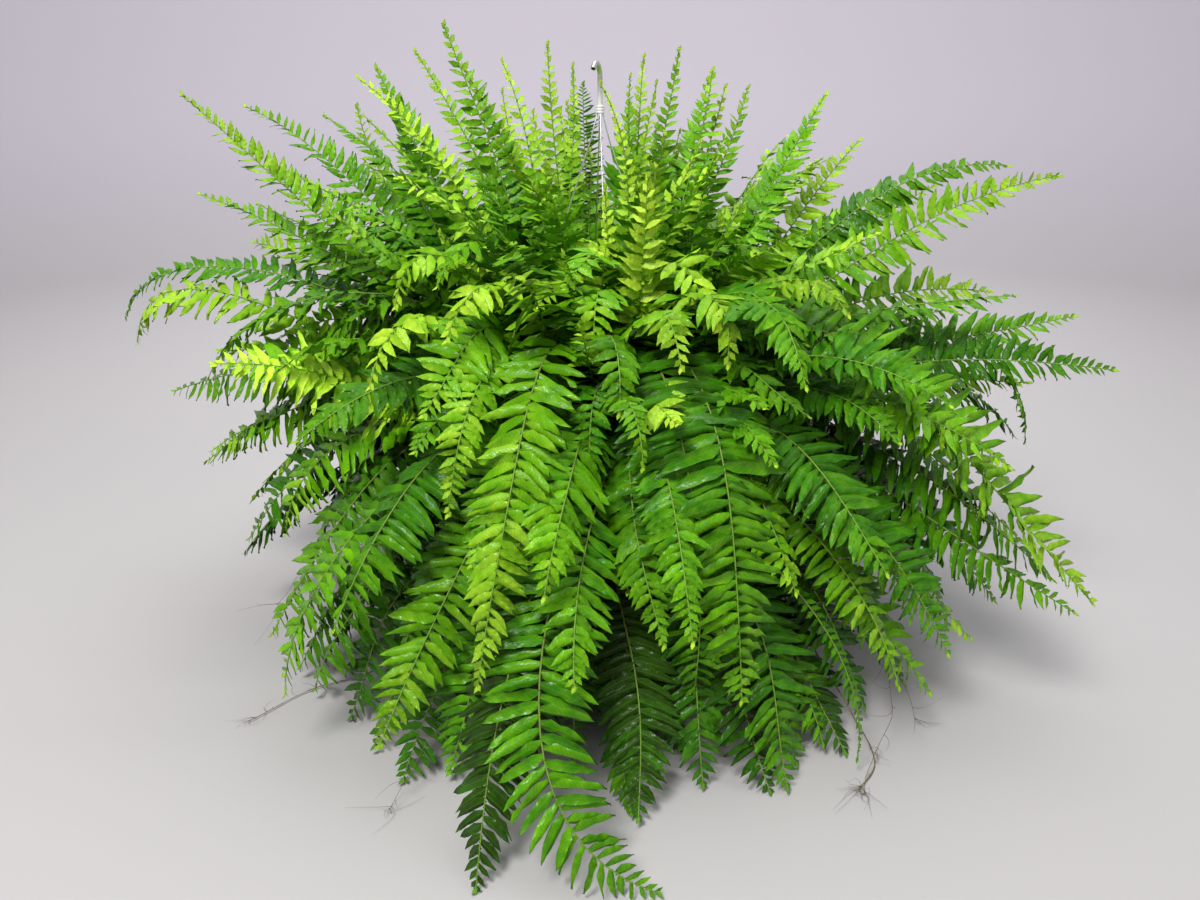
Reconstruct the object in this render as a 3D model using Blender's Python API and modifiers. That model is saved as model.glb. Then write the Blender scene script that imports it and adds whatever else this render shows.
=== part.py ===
"""Boston fern in a hanging pot, about one metre across.

Metres, +Z up. The origin is the centre of the pot's underside, -Y is the
front of the plant and +X its right side. Every frond is a thin arched blade
whose leaflets are cut to the rib, and it rises from a crown set in the soil.
"""
import math
import random
from dataclasses import dataclass

import bmesh
import bpy
from mathutils import Matrix, Vector
from mathutils.bvhtree import BVHTree

# Pot
POT_HEIGHT = 0.165
POT_BASE_RADIUS = 0.088
POT_WALL_TOP_RADIUS = 0.122
POT_WALL = 0.0020
POT_FLOOR = 0.0025
RIM_RADIUS = 0.127
RIM_DROP = 0.012
POT_STEPS = 24
DRAIN_COUNT = 4
DRAIN_RADIUS = 0.005
DRAIN_CIRCLE = 0.055

# Ears on the rim that the hanger's wires hook into
EAR_CIRCLE = 0.1325
EAR_SIZE = (0.014, 0.012, 0.003)
EAR_TOP = POT_HEIGHT - 0.002
EAR_HOLE_RADIUS = 0.0013

# Soil
GAP = 0.0003
SOIL_EDGE = 0.143
SOIL_CROWN = 0.148

# Hanger
STRAND_RADIUS = 0.0008
STRAND_COUNT = 4
STRAND_TURN = 6.0
FERRULE_BOTTOM = 0.553
FERRULE_TOP = 0.5605
FERRULE_RADIUS = 0.0043
FERRULE_CHAMFER = 0.0008
FERRULE_STEPS = 12
SOCKET_DEPTH = 0.0030
STRAND_SOCKET_CIRCLE = 0.0023
STRAND_SOCKET_RADIUS = 0.00118
HOOK_WIRE = 0.0023
HOOK_RADIUS = 0.0150
HOOK_CROWN = 0.5994
HOOK_TURN = 143.0
HOOK_STEPS = 12
HOOK_HEADING = -104.0
HOOK_THROAT = Vector((-0.004, -0.016, 0.584))
SHANK_SOCKET_RADIUS = 0.0027

# Crowns that the fronds grow from
CROWN_BOTTOM = 0.1345
CROWN_TOP = 0.1560
CROWN_RADIUS = 0.0038
CROWN_HOLE_RADIUS = 0.0043
CROWN_SIDES = 5
ROOT_HEIGHT = 0.1440
CROWN_SPACING = 0.0115

# Fronds
RIB_WIDTH = 0.0026
RIB_TIP_WIDTH = 0.0012
RIB_THICKNESS = 0.0022
LEAFLET_THICKNESS = 0.0008
LEAFLET_PITCH = 0.049
SICKLE = 0.30
DROOP = 0.22
TIP_WIDTH = 0.28
LYING = 0.0022
CURVE_SAMPLES = 48
STIPE_STEPS = 2
TRIES = 120
CLEARANCE = 0.0006
SEED = 7

# Runners
RUNNER_RADIUS = 0.0009
RUNNER_HOLE_RADIUS = 0.0023
RUNNER_STEP = 0.022


@dataclass(frozen=True)
class Tier:
    """One storey of fronds: where they root and how they usually grow."""

    circle: float
    slots: int
    launch: float
    slope: float
    arch: float
    leaflet: float
    bare: float


# Root circle, crowns, launch and tip slope in degrees, arch, leaflet, bare stalk
TIERS = {
    "crest": Tier(0.015, 5, 84.0, 66.0, 0.17, 0.032, 0.13),
    "upper": Tier(0.035, 10, 72.0, 28.0, 0.19, 0.042, 0.10),
    "shoulder": Tier(0.055, 10, 66.0, -10.0, 0.20, 0.048, 0.09),
    "waist": Tier(0.075, 12, 60.0, -55.0, 0.20, 0.050, 0.085),
    "skirt": Tier(0.094, 12, 50.0, -58.0, 0.15, 0.050, 0.07),
}


@dataclass(frozen=True)
class Frond:
    """One frond: the tier it belongs to, where its tip is, and how it bends."""

    tier: str
    tip: tuple
    launch: float = None
    slope: float = None
    arch: float = None
    leaflet: float = None
    roll: float = 0.0
    face: float = 0.0
    sweep: float = 0.0

    def value(self, name):
        """Return this frond's own value, or its tier's usual one."""
        own = getattr(self, name)
        return getattr(TIERS[self.tier], name) if own is None else own


# Fronds of the front and the sides, tips in centimetres
FRONDS = [
    Frond("shoulder", (12, -33, 9), 84, -86, 0.34, 0.062),
    Frond("shoulder", (44.6, -25.2, 13.6), 72, -46, 0.38, 0.056, roll=14),
    Frond("shoulder", (-9.5, -37, 13), 82, -72, 0.33, 0.042),
    Frond("shoulder", (8, -38, 17), 74, -54, 0.25, 0.038, roll=10),
    Frond("shoulder", (-13, -30, 25), 80, -70, 0.22, 0.034, roll=-18),
    Frond("crest", (-15, 0, 63.5), 84, 74, 0.14, 0.032, face=-80),
    Frond("crest", (-19, 5, 61.5), 78, 52, 0.16, 0.026, face=-65),
    Frond("crest", (-5.5, 5, 62), 88, 84, 0.12, 0.024, face=-48),
    Frond("crest", (5, 9, 61), 88, 82, 0.12, 0.024, face=30),
    Frond("crest", (8, 5, 61.5), 86, 86, 0.12, 0.024, face=55),
    Frond("crest", (12, 13, 59), 84, 76, 0.14, 0.032, face=45),
    Frond("crest", (16, 9, 58), 80, 70, 0.14, 0.028, face=58),
    Frond("crest", (-25, 0, 59.5), 74, 36, 0.18, 0.030, roll=-45),
    Frond("crest", (5, -15, 51), 80, 80, 0.10, 0.030),
    Frond("crest", (-4, 22, 57), 80, 62, 0.14, 0.030),
    Frond("upper", (-40, -4, 56.5), 62, 42, 0.18, 0.032, roll=-42),
    Frond("upper", (-38, 6, 56), 68, 22, 0.18, 0.032, roll=-36),
    Frond("upper", (-27.5, 11, 56), 70, 84, 0.14, 0.028, face=-68),
    Frond("upper", (-38, 12, 50.5), 66, 22, 0.18, 0.034, roll=-38),
    Frond("upper", (-40, -2, 46.5), 64, 18, 0.18, 0.034, roll=-30),
    Frond("upper", (23, 1, 56.5), 72, 58, 0.15, 0.036, face=48),
    Frond("upper", (28.5, 6, 52), 70, 46, 0.15, 0.034, roll=38),
    Frond("upper", (34, 9, 47), 68, 26, 0.17, 0.034, roll=40),
    Frond("upper", (39, 12, 47.5), 66, 24, 0.18, 0.034, roll=36),
    Frond("upper", (45, -5, 49.5), 66, 10, 0.19, 0.036, roll=58),
    Frond("upper", (1, -23, 41), 78, 44, 0.13, 0.036),
    Frond("upper", (-12, -15, 49), 80, 66, 0.13, 0.036, roll=-12),
    Frond("upper", (14, -14, 49), 80, 64, 0.13, 0.036, roll=12),
    Frond("upper", (-25, -13, 47), 74, 38, 0.15, 0.038, roll=-32),
    Frond("upper", (25, -15, 45), 74, 26, 0.15, 0.042, roll=28),
    Frond("shoulder", (-35, -15, 33), 66, 0, 0.18, roll=-32),
    Frond("shoulder", (-25, -27, 30), 70, -30, 0.18, 0.042, roll=-18),
    Frond("shoulder", (30, -24, 32), 70, -30, 0.18, 0.042, roll=18),
    Frond("shoulder", (-41, 12, 41), 64, 12, roll=-34),
    Frond("shoulder", (-48.4, -4, 33.5), 88, -74, 0.235, 0.040, roll=-26, sweep=16),
    Frond("shoulder", (42, 0, 37), 66, -6, 0.19, roll=34),
    Frond("shoulder", (48, -7, 36), 62, 14, 0.19, 0.038, roll=42),
    Frond("shoulder", (50, -12, 32), 60, -2, 0.20, 0.038, roll=40),
    Frond("waist", (-47, -1, 26), 60, -20, 0.20, roll=-26),
    Frond("waist", (-48, 5, 16), 60, -38, 0.22, roll=-20),
    Frond("waist", (50, 6, 18.5), 60, -52, 0.22, roll=22),
    Frond("waist", (-31, -23, 9), 64, -62, 0.21, roll=-10),
    Frond("waist", (24, -31, 20), 66, -44, 0.20, roll=10),
    Frond("waist", (5, -30, 27), 70, -80, 0.17, 0.026),
    Frond("waist", (31, -28, 10), 64, -58, 0.21, roll=8),
    Frond("waist", (-22, -32, 15), 66, -62, 0.21),
    Frond("waist", (41, -15, 8), 60, -50, 0.20, roll=14),
    Frond("waist", (-36.5, -12.5, 14), 60, -54, 0.20, roll=-14),
    Frond("skirt", (-41, -4, 8)),
    Frond("skirt", (-31, -18, 2)),
    Frond("skirt", (-17, -33, 0.4), slope=-45),
    Frond("skirt", (-9.5, -45, 0.5), 56, -62, 0.20),
    Frond("skirt", (4.4, -45, 0.8), 54, -20, 0.25, sweep=82),
    Frond("skirt", (4.2, -38.5, 0.5), 40, -20, 0.134, sweep=17),
    Frond("skirt", (15, -34, 0.4), slope=-45),
    Frond("skirt", (22, -30, 0.4), slope=-42),
    Frond("skirt", (31, -20, 2)),
    Frond("skirt", (38, -8, 5)),
    Frond("skirt", (-24, -14, 1.5), 46, -78, 0.11, 0.034),
    Frond("skirt", (-9, -26, 2), 46, -80, 0.11, 0.034),
    Frond("skirt", (10, -25, 3), 46, -80, 0.11, 0.034),
]

# Rear fronds of a tier: count, first and last heading, reach, tip height
REAR = {
    "upper": (5, 44.0, 136.0, 0.40, 0.49),
    "shoulder": (5, 30.0, 150.0, 0.47, 0.35),
    "waist": (5, 26.0, 154.0, 0.47, 0.19),
    "skirt": (6, 18.0, 162.0, 0.41, 0.03),
}
REAR_SCATTER = 0.02

# Routes of the runners, in centimetres, from the soil over the rim to the table
RUNNERS = {
    "runner_right": [(7.6, -7.0, 13.6), (7.6, -7.0, 14.7), (7.7, -7.1, 15.8), (9.6, -9.1, 18.6),
                     (14, -13.5, 17.5), (19, -18.5, 9), (22.5, -23.5, 4), (25, -30, 0.4),
                     (22.5, -34, 0.25)],
    "runner_left": [(-8.2, -6.2, 13.6), (-8.2, -6.2, 14.7), (-8.3, -6.3, 15.8), (-10.5, -7.9, 18.6),
                    (-15, -11, 15.5), (-19.5, -13.5, 4), (-24, -16.5, 0.4), (-29.5, -19.5, 0.25),
                    (-34, -24.5, 0.25)],
    "runner_front": [(1.0, -10.3, 13.6), (1.0, -10.3, 14.7), (1.0, -10.3, 15.8), (0.8, -12.8, 18.6),
                     (0.5, -17, 18.0), (0.2, -22.5, 13), (2.5, -26.5, 9.5), (6.5, -28, 9),
                     (9.5, -28.5, 7)],
}

# Colour, roughness and metallic value
MATERIALS = {
    "pot_plastic": ((0.018, 0.030, 0.020), 0.42, 0.0),
    "soil": ((0.045, 0.028, 0.018), 0.95, 0.0),
    "hanger_steel": ((0.62, 0.62, 0.60), 0.28, 1.0),
    "frond_green": ((0.045, 0.280, 0.012), 0.42, 0.0),
    "frond_young": ((0.230, 0.560, 0.015), 0.42, 0.0),
    "frond_shade": ((0.015, 0.130, 0.010), 0.45, 0.0),
    "runner_tan": ((0.330, 0.260, 0.110), 0.60, 0.0),
}


def clear_scene():
    """Remove everything that the new file holds."""
    for thing in list(bpy.data.objects):
        bpy.data.objects.remove(thing, do_unlink=True)
    for group in list(bpy.data.collections):
        bpy.data.collections.remove(group)


def new_collection(name):
    """Return a new collection linked to the scene."""
    group = bpy.data.collections.new(name)
    bpy.context.scene.collection.children.link(group)
    return group


def material(name):
    """Return the named material, made on first use."""
    found = bpy.data.materials.get(name)
    if found:
        return found
    colour, roughness, metallic = MATERIALS[name]
    made = bpy.data.materials.new(name)
    made.use_nodes = True
    shader = made.node_tree.nodes["Principled BSDF"]
    shader.inputs["Base Color"].default_value = (*colour, 1.0)
    shader.inputs["Roughness"].default_value = roughness
    shader.inputs["Metallic"].default_value = metallic
    return made


def add_object(name, data, group, finish=None):
    """Link data as an object in the group and give it a finish."""
    made = bpy.data.objects.new(name, data)
    group.objects.link(made)
    if finish:
        data.materials.append(material(finish))
    return made


def frozen_mesh(source, name):
    """Return the mesh that an object's modifiers and curve settings give."""
    bpy.context.view_layer.update()
    shown = source.evaluated_get(bpy.context.evaluated_depsgraph_get())
    mesh = bpy.data.meshes.new_from_object(shown)
    mesh.name = name
    return mesh


def polar(radius, heading, height):
    """Return the point at a radius, a heading in degrees and a height."""
    angle = math.radians(heading)
    return Vector((radius * math.cos(angle), radius * math.sin(angle), height))


def turned(name, profile, steps, group, finish):
    """Turn a profile of (radius, height) points round the Z axis."""
    mesh = bpy.data.meshes.new(name)
    shape = bmesh.new()
    points = [shape.verts.new((radius, 0.0, height)) for radius, height in profile]
    for first, second in zip(points, points[1:]):
        shape.edges.new((first, second))
    shape.to_mesh(mesh)
    shape.free()
    made = add_object(name, mesh, group, finish)
    screw = made.modifiers.new("turn", "SCREW")
    screw.axis = "Z"
    screw.steps = steps
    screw.render_steps = steps
    screw.use_merge_vertices = True
    screw.merge_threshold = 0.00001
    return made


def wire(name, points, radius, group, finish):
    """Return a round wire through the points, with closed ends."""
    path = bpy.data.curves.new(name, "CURVE")
    path.dimensions = "3D"
    path.bevel_depth = radius
    path.bevel_resolution = 2
    path.use_fill_caps = True
    line = path.splines.new("POLY")
    line.points.add(len(points) - 1)
    for spot, point in zip(line.points, points):
        spot.co = (*point, 1.0)
    return add_object(name, path, group, finish)


def prism(name, centre, radius, depth, sides, group):
    """Return an upright prism whose flat sides match every other one here."""
    shape = bmesh.new()
    bmesh.ops.create_cone(
        shape, cap_ends=True, segments=sides, radius1=radius, radius2=radius, depth=depth,
        matrix=Matrix.Translation(centre))
    mesh = bpy.data.meshes.new(name)
    shape.to_mesh(mesh)
    shape.free()
    return add_object(name, mesh, group)


def as_cutter(made):
    """Show an object as a cutter only."""
    made.hide_render = True
    made.display_type = "WIRE"
    return made


def join_with(target, operation, group, solver="EXACT"):
    """Add a Boolean with every object of a group to the target."""
    tool = target.modifiers.new(operation.lower(), "BOOLEAN")
    tool.operation = operation
    tool.operand_type = "COLLECTION"
    tool.collection = group
    tool.solver = solver
    return tool


def wall_radius(height, inner=False):
    """Return the pot's wall radius at a height."""
    slope = (POT_WALL_TOP_RADIUS - POT_BASE_RADIUS) / POT_HEIGHT
    return POT_BASE_RADIUS + slope * height - (POT_WALL if inner else 0.0)


def strand_headings():
    """Return the headings of the four wires."""
    return [STRAND_TURN + 360.0 / STRAND_COUNT * index for index in range(STRAND_COUNT)]


def build_pot(parts, cutters):
    """Pot with its rim, drain holes and the ears for the wires."""
    rim_foot = POT_HEIGHT - RIM_DROP
    profile = [
        (0.0, POT_FLOOR),
        (wall_radius(POT_FLOOR, True), POT_FLOOR),
        (wall_radius(POT_HEIGHT, True), POT_HEIGHT),
        (RIM_RADIUS - 0.0015, POT_HEIGHT),
        (RIM_RADIUS, POT_HEIGHT - 0.0015),
        (RIM_RADIUS, rim_foot),
        (wall_radius(rim_foot), rim_foot),
        (POT_BASE_RADIUS, 0.0),
        (0.0, 0.0),
    ]
    pot = turned("pot", profile, POT_STEPS, parts, "pot_plastic")
    ears = new_collection("pot_ears")
    holes = new_collection("pot_holes")
    for index, heading in enumerate(strand_headings()):
        shape = bmesh.new()
        place = (Matrix.Rotation(math.radians(heading), 4, "Z")
                 @ Matrix.Translation((EAR_CIRCLE - 0.002, 0.0, EAR_TOP - EAR_SIZE[2] / 2))
                 @ Matrix.Diagonal((*EAR_SIZE, 1.0)))
        bmesh.ops.create_cube(shape, size=1.0, matrix=place)
        mesh = bpy.data.meshes.new("ear")
        shape.to_mesh(mesh)
        shape.free()
        as_cutter(add_object(f"ear_{index}", mesh, ears))
        centre = polar(EAR_CIRCLE, heading, EAR_TOP)
        as_cutter(prism(f"ear_hole_{index}", centre, EAR_HOLE_RADIUS, 0.02, 8, holes))
    for index in range(DRAIN_COUNT):
        centre = polar(DRAIN_CIRCLE, 45.0 + 360.0 / DRAIN_COUNT * index, 0.0)
        as_cutter(prism(f"drain_{index}", centre, DRAIN_RADIUS, 0.02, 10, holes))
    join_with(pot, "UNION", ears)
    join_with(pot, "DIFFERENCE", holes)
    for group in (ears, holes):
        bpy.context.scene.collection.children.unlink(group)
        cutters.children.link(group)
    return pot


def build_soil(parts, cutters, sockets):
    """Soil that fills the pot, with a plain hole for each crown and runner."""
    bottom = POT_FLOOR + GAP
    profile = [
        (0.0, SOIL_CROWN),
        (0.6 * POT_BASE_RADIUS, SOIL_CROWN - 0.001),
        (wall_radius(SOIL_EDGE, True) - GAP * 1.5, SOIL_EDGE),
        (wall_radius(bottom, True) - GAP * 1.5, bottom),
        (0.0, bottom),
    ]
    soil = turned("soil", profile, POT_STEPS, parts, "soil")
    holes = bpy.data.collections.new("soil_holes")
    cutters.children.link(holes)
    for index, (centre, radius) in enumerate(sockets):
        middle = Vector((centre.x, centre.y, CROWN_BOTTOM - GAP + 0.02))
        as_cutter(prism(f"soil_hole_{index}", middle, radius, 0.04, CROWN_SIDES, holes))
    join_with(soil, "DIFFERENCE", holes)
    return soil


def strand_path(heading):
    """Return a wire's points, from its bent foot under the ear to the ferrule."""
    foot = EAR_TOP - EAR_SIZE[2] - STRAND_RADIUS - GAP
    bend = 0.0012
    return [
        polar(EAR_CIRCLE + 0.006, heading, foot),
        polar(EAR_CIRCLE + bend, heading, foot),
        polar(EAR_CIRCLE, heading, foot + bend),
        polar(EAR_CIRCLE, heading, EAR_TOP + 0.004),
        polar(STRAND_SOCKET_CIRCLE, heading, FERRULE_BOTTOM - 0.004),
        polar(STRAND_SOCKET_CIRCLE, heading, FERRULE_BOTTOM + SOCKET_DEPTH - GAP),
    ]


def hook_path():
    """Return the hook's points, up the shank and round the crown to the tip."""
    top = HOOK_CROWN - HOOK_RADIUS
    points = [Vector((0.0, 0.0, FERRULE_TOP - SOCKET_DEPTH + GAP)), Vector((0.0, 0.0, top - 0.004))]
    for step in range(HOOK_STEPS + 1):
        angle = math.radians(HOOK_TURN * step / HOOK_STEPS)
        reach = HOOK_RADIUS * (1.0 - math.cos(angle))
        points.append(polar(reach, HOOK_HEADING, top + HOOK_RADIUS * math.sin(angle)))
    return points


def build_hanger(parts, cutters):
    """Four wires, the ferrule that gathers them, and the hook above it."""
    strands = []
    for index, heading in enumerate(strand_headings()):
        name = f"hanger_wire_{index + 1}"
        strands.append(wire(name, strand_path(heading), STRAND_RADIUS, parts, "hanger_steel"))
    side = FERRULE_RADIUS - FERRULE_CHAMFER
    profile = [
        (0.0, FERRULE_TOP),
        (side, FERRULE_TOP),
        (FERRULE_RADIUS, FERRULE_TOP - FERRULE_CHAMFER),
        (FERRULE_RADIUS, FERRULE_BOTTOM + FERRULE_CHAMFER),
        (side, FERRULE_BOTTOM),
        (0.0, FERRULE_BOTTOM),
    ]
    ferrule = turned("hanger_ferrule", profile, FERRULE_STEPS, parts, "hanger_steel")
    sockets = bpy.data.collections.new("ferrule_sockets")
    cutters.children.link(sockets)
    depth = 2.0 * SOCKET_DEPTH
    for index, heading in enumerate(strand_headings()):
        centre = polar(STRAND_SOCKET_CIRCLE, heading, FERRULE_BOTTOM)
        as_cutter(prism(f"socket_{index}", centre, STRAND_SOCKET_RADIUS, depth, 6, sockets))
    centre = Vector((0.0, 0.0, FERRULE_TOP))
    as_cutter(prism("shank_socket", centre, SHANK_SOCKET_RADIUS, depth, 12, sockets))
    join_with(ferrule, "DIFFERENCE", sockets)
    hook = wire("hanger_hook", hook_path(), HOOK_WIRE, parts, "hanger_steel")
    return [*strands, ferrule, hook]


def smooth_path(route, step):
    """Return evenly spaced points on a smooth curve through a route."""
    knots = [Vector(point) / 100.0 for point in route]
    knots = [2 * knots[0] - knots[1], *knots, 2 * knots[-1] - knots[-2]]
    fine = []
    for p0, p1, p2, p3 in zip(knots, knots[1:], knots[2:], knots[3:]):
        for index in range(20):
            t = index / 20
            fine.append(0.5 * ((2 * p1) + (p2 - p0) * t + (2 * p0 - 5 * p1 + 4 * p2 - p3) * t * t
                               + (3 * p1 - p0 - 3 * p2 + p3) * t ** 3))
    fine.append(knots[-2])
    points, walked = [fine[0]], 0.0
    for before, after in zip(fine, fine[1:]):
        walked += (after - before).length
        if walked >= step:
            points.append(after)
            walked = 0.0
    if (points[-1] - fine[-1]).length > 0.3 * step:
        points.append(fine[-1])
    return points


def heading_of(point):
    """Return a point's heading round the Z axis in degrees."""
    return math.degrees(math.atan2(point[1], point[0]))


def rear_fronds():
    """Return the rear fronds, spread evenly over each tier with a little scatter."""
    draw = random.Random(SEED)
    fronds = []
    for tier, (count, first, last, reach, height) in REAR.items():
        for index in range(count):
            heading = first + (last - first) * index / (count - 1) + draw.uniform(-7.0, 7.0)
            spread = 1.0 + draw.uniform(-REAR_SCATTER, REAR_SCATTER) * 3
            rise = max(height + draw.uniform(-REAR_SCATTER, REAR_SCATTER), 0.004)
            tip = polar(reach * spread, heading, rise) * 100.0
            fronds.append(Frond(tier, tuple(tip), roll=draw.uniform(-18.0, 18.0)))
    return fronds


def spread_headings(wanted, least):
    """Push sorted headings apart until neighbours are at least so far apart."""
    placed = list(wanted)
    for _ in range(400):
        for index in range(len(placed)):
            after = (index + 1) % len(placed)
            lap = 360.0 if after == 0 else 0.0
            short = least - (placed[after] + lap - placed[index])
            if short > 0.0:
                placed[index] -= short / 2
                placed[after] += short / 2
    return placed


def plan_crowns(fronds):
    """Share each tier's crowns among its fronds, as (name, root point, fronds)."""
    crowns = []
    for tier, rule in TIERS.items():
        members = sorted((f for f in fronds if f.tier == tier), key=lambda f: heading_of(f.tip))
        groups = [[] for _ in range(min(rule.slots, len(members)))]
        for index, frond in enumerate(members):
            groups[index * len(groups) // len(members)].append(frond)
        wanted = [sum(heading_of(f.tip) for f in group) / len(group) for group in groups]
        least = min(math.degrees(CROWN_SPACING / rule.circle), 350.0 / len(groups))
        for index, heading in enumerate(spread_headings(wanted, least)):
            root = polar(rule.circle, heading, ROOT_HEIGHT)
            crowns.append((f"frond_{tier}_{index + 1:02d}", root, groups[index]))
    return crowns


def smoothstep(value):
    """Ease a value from 0 to 1."""
    value = min(max(value, 0.0), 1.0)
    return value * value * (3.0 - 2.0 * value)


class Shape:
    """The spine and blade of one frond, at one try of its lean."""

    def __init__(self, frond, root, attempt):
        tier = TIERS[frond.tier]
        draw = random.Random(f"{frond.tip}{attempt}{SEED}")
        freedom = attempt / TRIES
        scatter = [draw.uniform(-1.0, 1.0) * freedom for _ in range(8)]
        shift = 0.0 if attempt < 12 else 0.035
        tip = Vector(frond.tip) / 100.0 + Vector(scatter[:3]) * shift
        tip.z = max(tip.z, 2 * LYING)
        chord = tip - root
        self.heading = math.atan2(chord.y, chord.x)
        launch = math.radians(frond.value("launch") + 16.0 * scatter[3])
        slope = math.radians(frond.value("slope"))
        aim = self.heading + math.radians(70.0 * scatter[4])
        ahead = self.heading + math.radians(frond.sweep)
        arch = frond.value("arch") * (1.0 + 0.35 * scatter[5])
        start = Vector((math.cos(aim) * math.cos(launch), math.sin(aim) * math.cos(launch),
                        math.sin(launch)))
        end = Vector((math.cos(ahead) * math.cos(slope), math.sin(ahead) * math.cos(slope),
                      math.sin(slope)))
        self.knots = (root, root + start * arch, tip - end * arch * 0.8, tip)
        self.roll = math.radians(frond.roll + 45.0 * scatter[6])
        self.face = math.radians(frond.face)
        self.bare = tier.bare * (1.0 + 0.6 * abs(scatter[7]))
        self.leaflet = frond.value("leaflet") * (1.0 - 0.35 * freedom)
        self.samples = [self.at(index / CURVE_SAMPLES) for index in range(CURVE_SAMPLES + 1)]
        self.reach = [0.0]
        for before, after in zip(self.samples, self.samples[1:]):
            self.reach.append(self.reach[-1] + (after - before).length)
        self.length = self.reach[-1]
        self.bare = min(self.bare, 0.45 * self.length)

    def at(self, t):
        """Return the spine's point at a curve parameter."""
        a, b, c, d = self.knots
        back = 1.0 - t
        return a * back ** 3 + b * (3 * back * back * t) + c * (3 * back * t * t) + d * t ** 3

    def frame(self, distance):
        """Return the point, side, forward and up directions at a distance from the root."""
        index = 1
        while index < CURVE_SAMPLES and self.reach[index] < distance:
            index += 1
        before, after = self.reach[index - 1], self.reach[index]
        share = (distance - before) / (after - before)
        point = self.samples[index - 1].lerp(self.samples[index], share)
        t = (index - 1 + share) / CURVE_SAMPLES
        step = 0.02
        forward = (self.at(min(t + step, 1.0)) - self.at(max(t - step, 0.0))).normalized()
        turn = self.heading + self.face
        side = Vector((math.sin(turn), -math.cos(turn), 0.0))
        side = (side - forward * side.dot(forward)).normalized()
        roll = self.roll * smoothstep((distance / self.length - 0.1) / 0.5)
        side = Matrix.Rotation(roll, 3, forward) @ side
        return point, side, forward, side.cross(forward)

    def leaflet_length(self, share):
        """Return a leaflet's length at a share of the blade, 0 at its foot and 1 at its tip."""
        swell = 0.42 + 0.58 * smoothstep(share / 0.3)
        taper = 1.0 - (1.0 - TIP_WIDTH) * max(0.0, (share - 0.5) / 0.5) ** 1.6
        return self.leaflet * swell * taper

    def rib_width(self, distance):
        """Return the rib's width at a distance from the root."""
        return RIB_WIDTH + (RIB_TIP_WIDTH - RIB_WIDTH) * distance / self.length

    def sheet(self):
        """Return the frond as an open sheet: points, triangles and how full each point is."""
        blade = self.length - self.bare
        pairs = max(6, round(blade / LEAFLET_PITCH))
        stalk = [self.bare * index / STIPE_STEPS for index in range(STIPE_STEPS)]
        pitch = blade / (pairs + 0.5)
        lefts = stalk + [self.bare + pitch * index for index in range(pairs + 1)]
        rights = stalk + [self.bare + pitch * (index + 0.5) for index in range(pairs)]
        rights.append(0.5 * (rights[-1] + self.length))
        points, fullness, faces = [], [], []
        for near, far in zip(lefts, rights):
            for distance, hand in ((near, -1), (far, 1)):
                point, side, _, _ = self.frame(distance)
                points.append(point + side * (hand * self.rib_width(distance) / 2))
                fullness.append(1.0)
        points.append(self.samples[-1])
        fullness.append(0.4)
        last = len(lefts) - 1
        for index in range(last):
            left, right = 2 * index, 2 * index + 1
            faces += [(left, right, left + 2), (right, right + 2, left + 2)]
        faces.append((2 * last, 2 * last + 1, 2 * last + 2))
        for index in range(STIPE_STEPS, last):
            for hand, row, foot in ((-1, lefts, 2 * index), (1, rights, 2 * index + 1)):
                middle = (row[index] + row[index + 1]) / 2
                point, side, forward, up = self.frame(middle)
                length = self.leaflet_length((middle - self.bare) / blade)
                out = side * hand + forward * SICKLE - up * DROOP
                points.append(point + out.normalized() * length)
                fullness.append(0.0)
                tip = len(points) - 1
                faces.append((foot + 2, tip, foot) if hand < 0 else (foot, tip, foot + 2))
        lying = [Vector((p.x, p.y, max(p.z, LYING))) for p in points]
        return lying, faces, fullness

    def envelope(self):
        """Return a search tree of the blade with some clearance on both sides."""
        points, faces, fullness = self.sheet()
        normals = [Vector() for _ in points]
        for face in faces:
            a, b, c = (points[index] for index in face)
            flat = (b - a).cross(c - a)
            for index in face:
                normals[index] += flat
        layers, shell = [], []
        for layer in (-1, 0, 1):
            offset = len(layers)
            for point, normal, full in zip(points, normals, fullness):
                thick = LEAFLET_THICKNESS + (RIB_THICKNESS - LEAFLET_THICKNESS) * full
                layers.append(point + normal.normalized() * layer * (thick / 2 + CLEARANCE))
            shell += [tuple(index + offset for index in face) for face in faces]
        return BVHTree.FromPolygons(layers, shell), points


def tree_of(made, spare):
    """Return a search tree of an object's surface, moved out by a clearance."""
    mesh = frozen_mesh(made, "probe")
    shape = bmesh.new()
    shape.from_mesh(mesh)
    bmesh.ops.remove_doubles(shape, verts=shape.verts, dist=0.00001)
    shape.normal_update()
    for vert in shape.verts:
        vert.co += vert.normal * spare
    tree = BVHTree.FromBMesh(shape)
    shape.free()
    bpy.data.meshes.remove(mesh)
    return tree


def settle(crowns, fixed):
    """Bend each frond clear of the rest, and return its shape by crown and place."""
    order = [(crown, place) for crown in range(len(crowns)) for place in range(len(crowns[crown][2]))]
    rank = {id(frond): index for index, frond in enumerate(FRONDS)}
    order.sort(key=lambda spot: rank.get(id(crowns[spot[0]][2][spot[1]]), len(rank)))
    placed, shapes = [], {}
    for crown, place in order:
        _, root, fronds = crowns[crown]
        best = None
        for attempt in range(TRIES):
            shape = Shape(fronds[place], root, attempt)
            tree, points = shape.envelope()
            hits = sum(len(tree.overlap(other)) for other in fixed)
            if best is None or hits < best[0]:
                hits += sum(len(tree.overlap(other)) for owner, other in placed if owner != crown)
            if best is None or hits < best[0]:
                best = (hits, attempt, shape, tree)
            if hits == 0:
                break
        placed.append((crown, best[3]))
        shapes[crown, place] = best[2]
    return shapes


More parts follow.
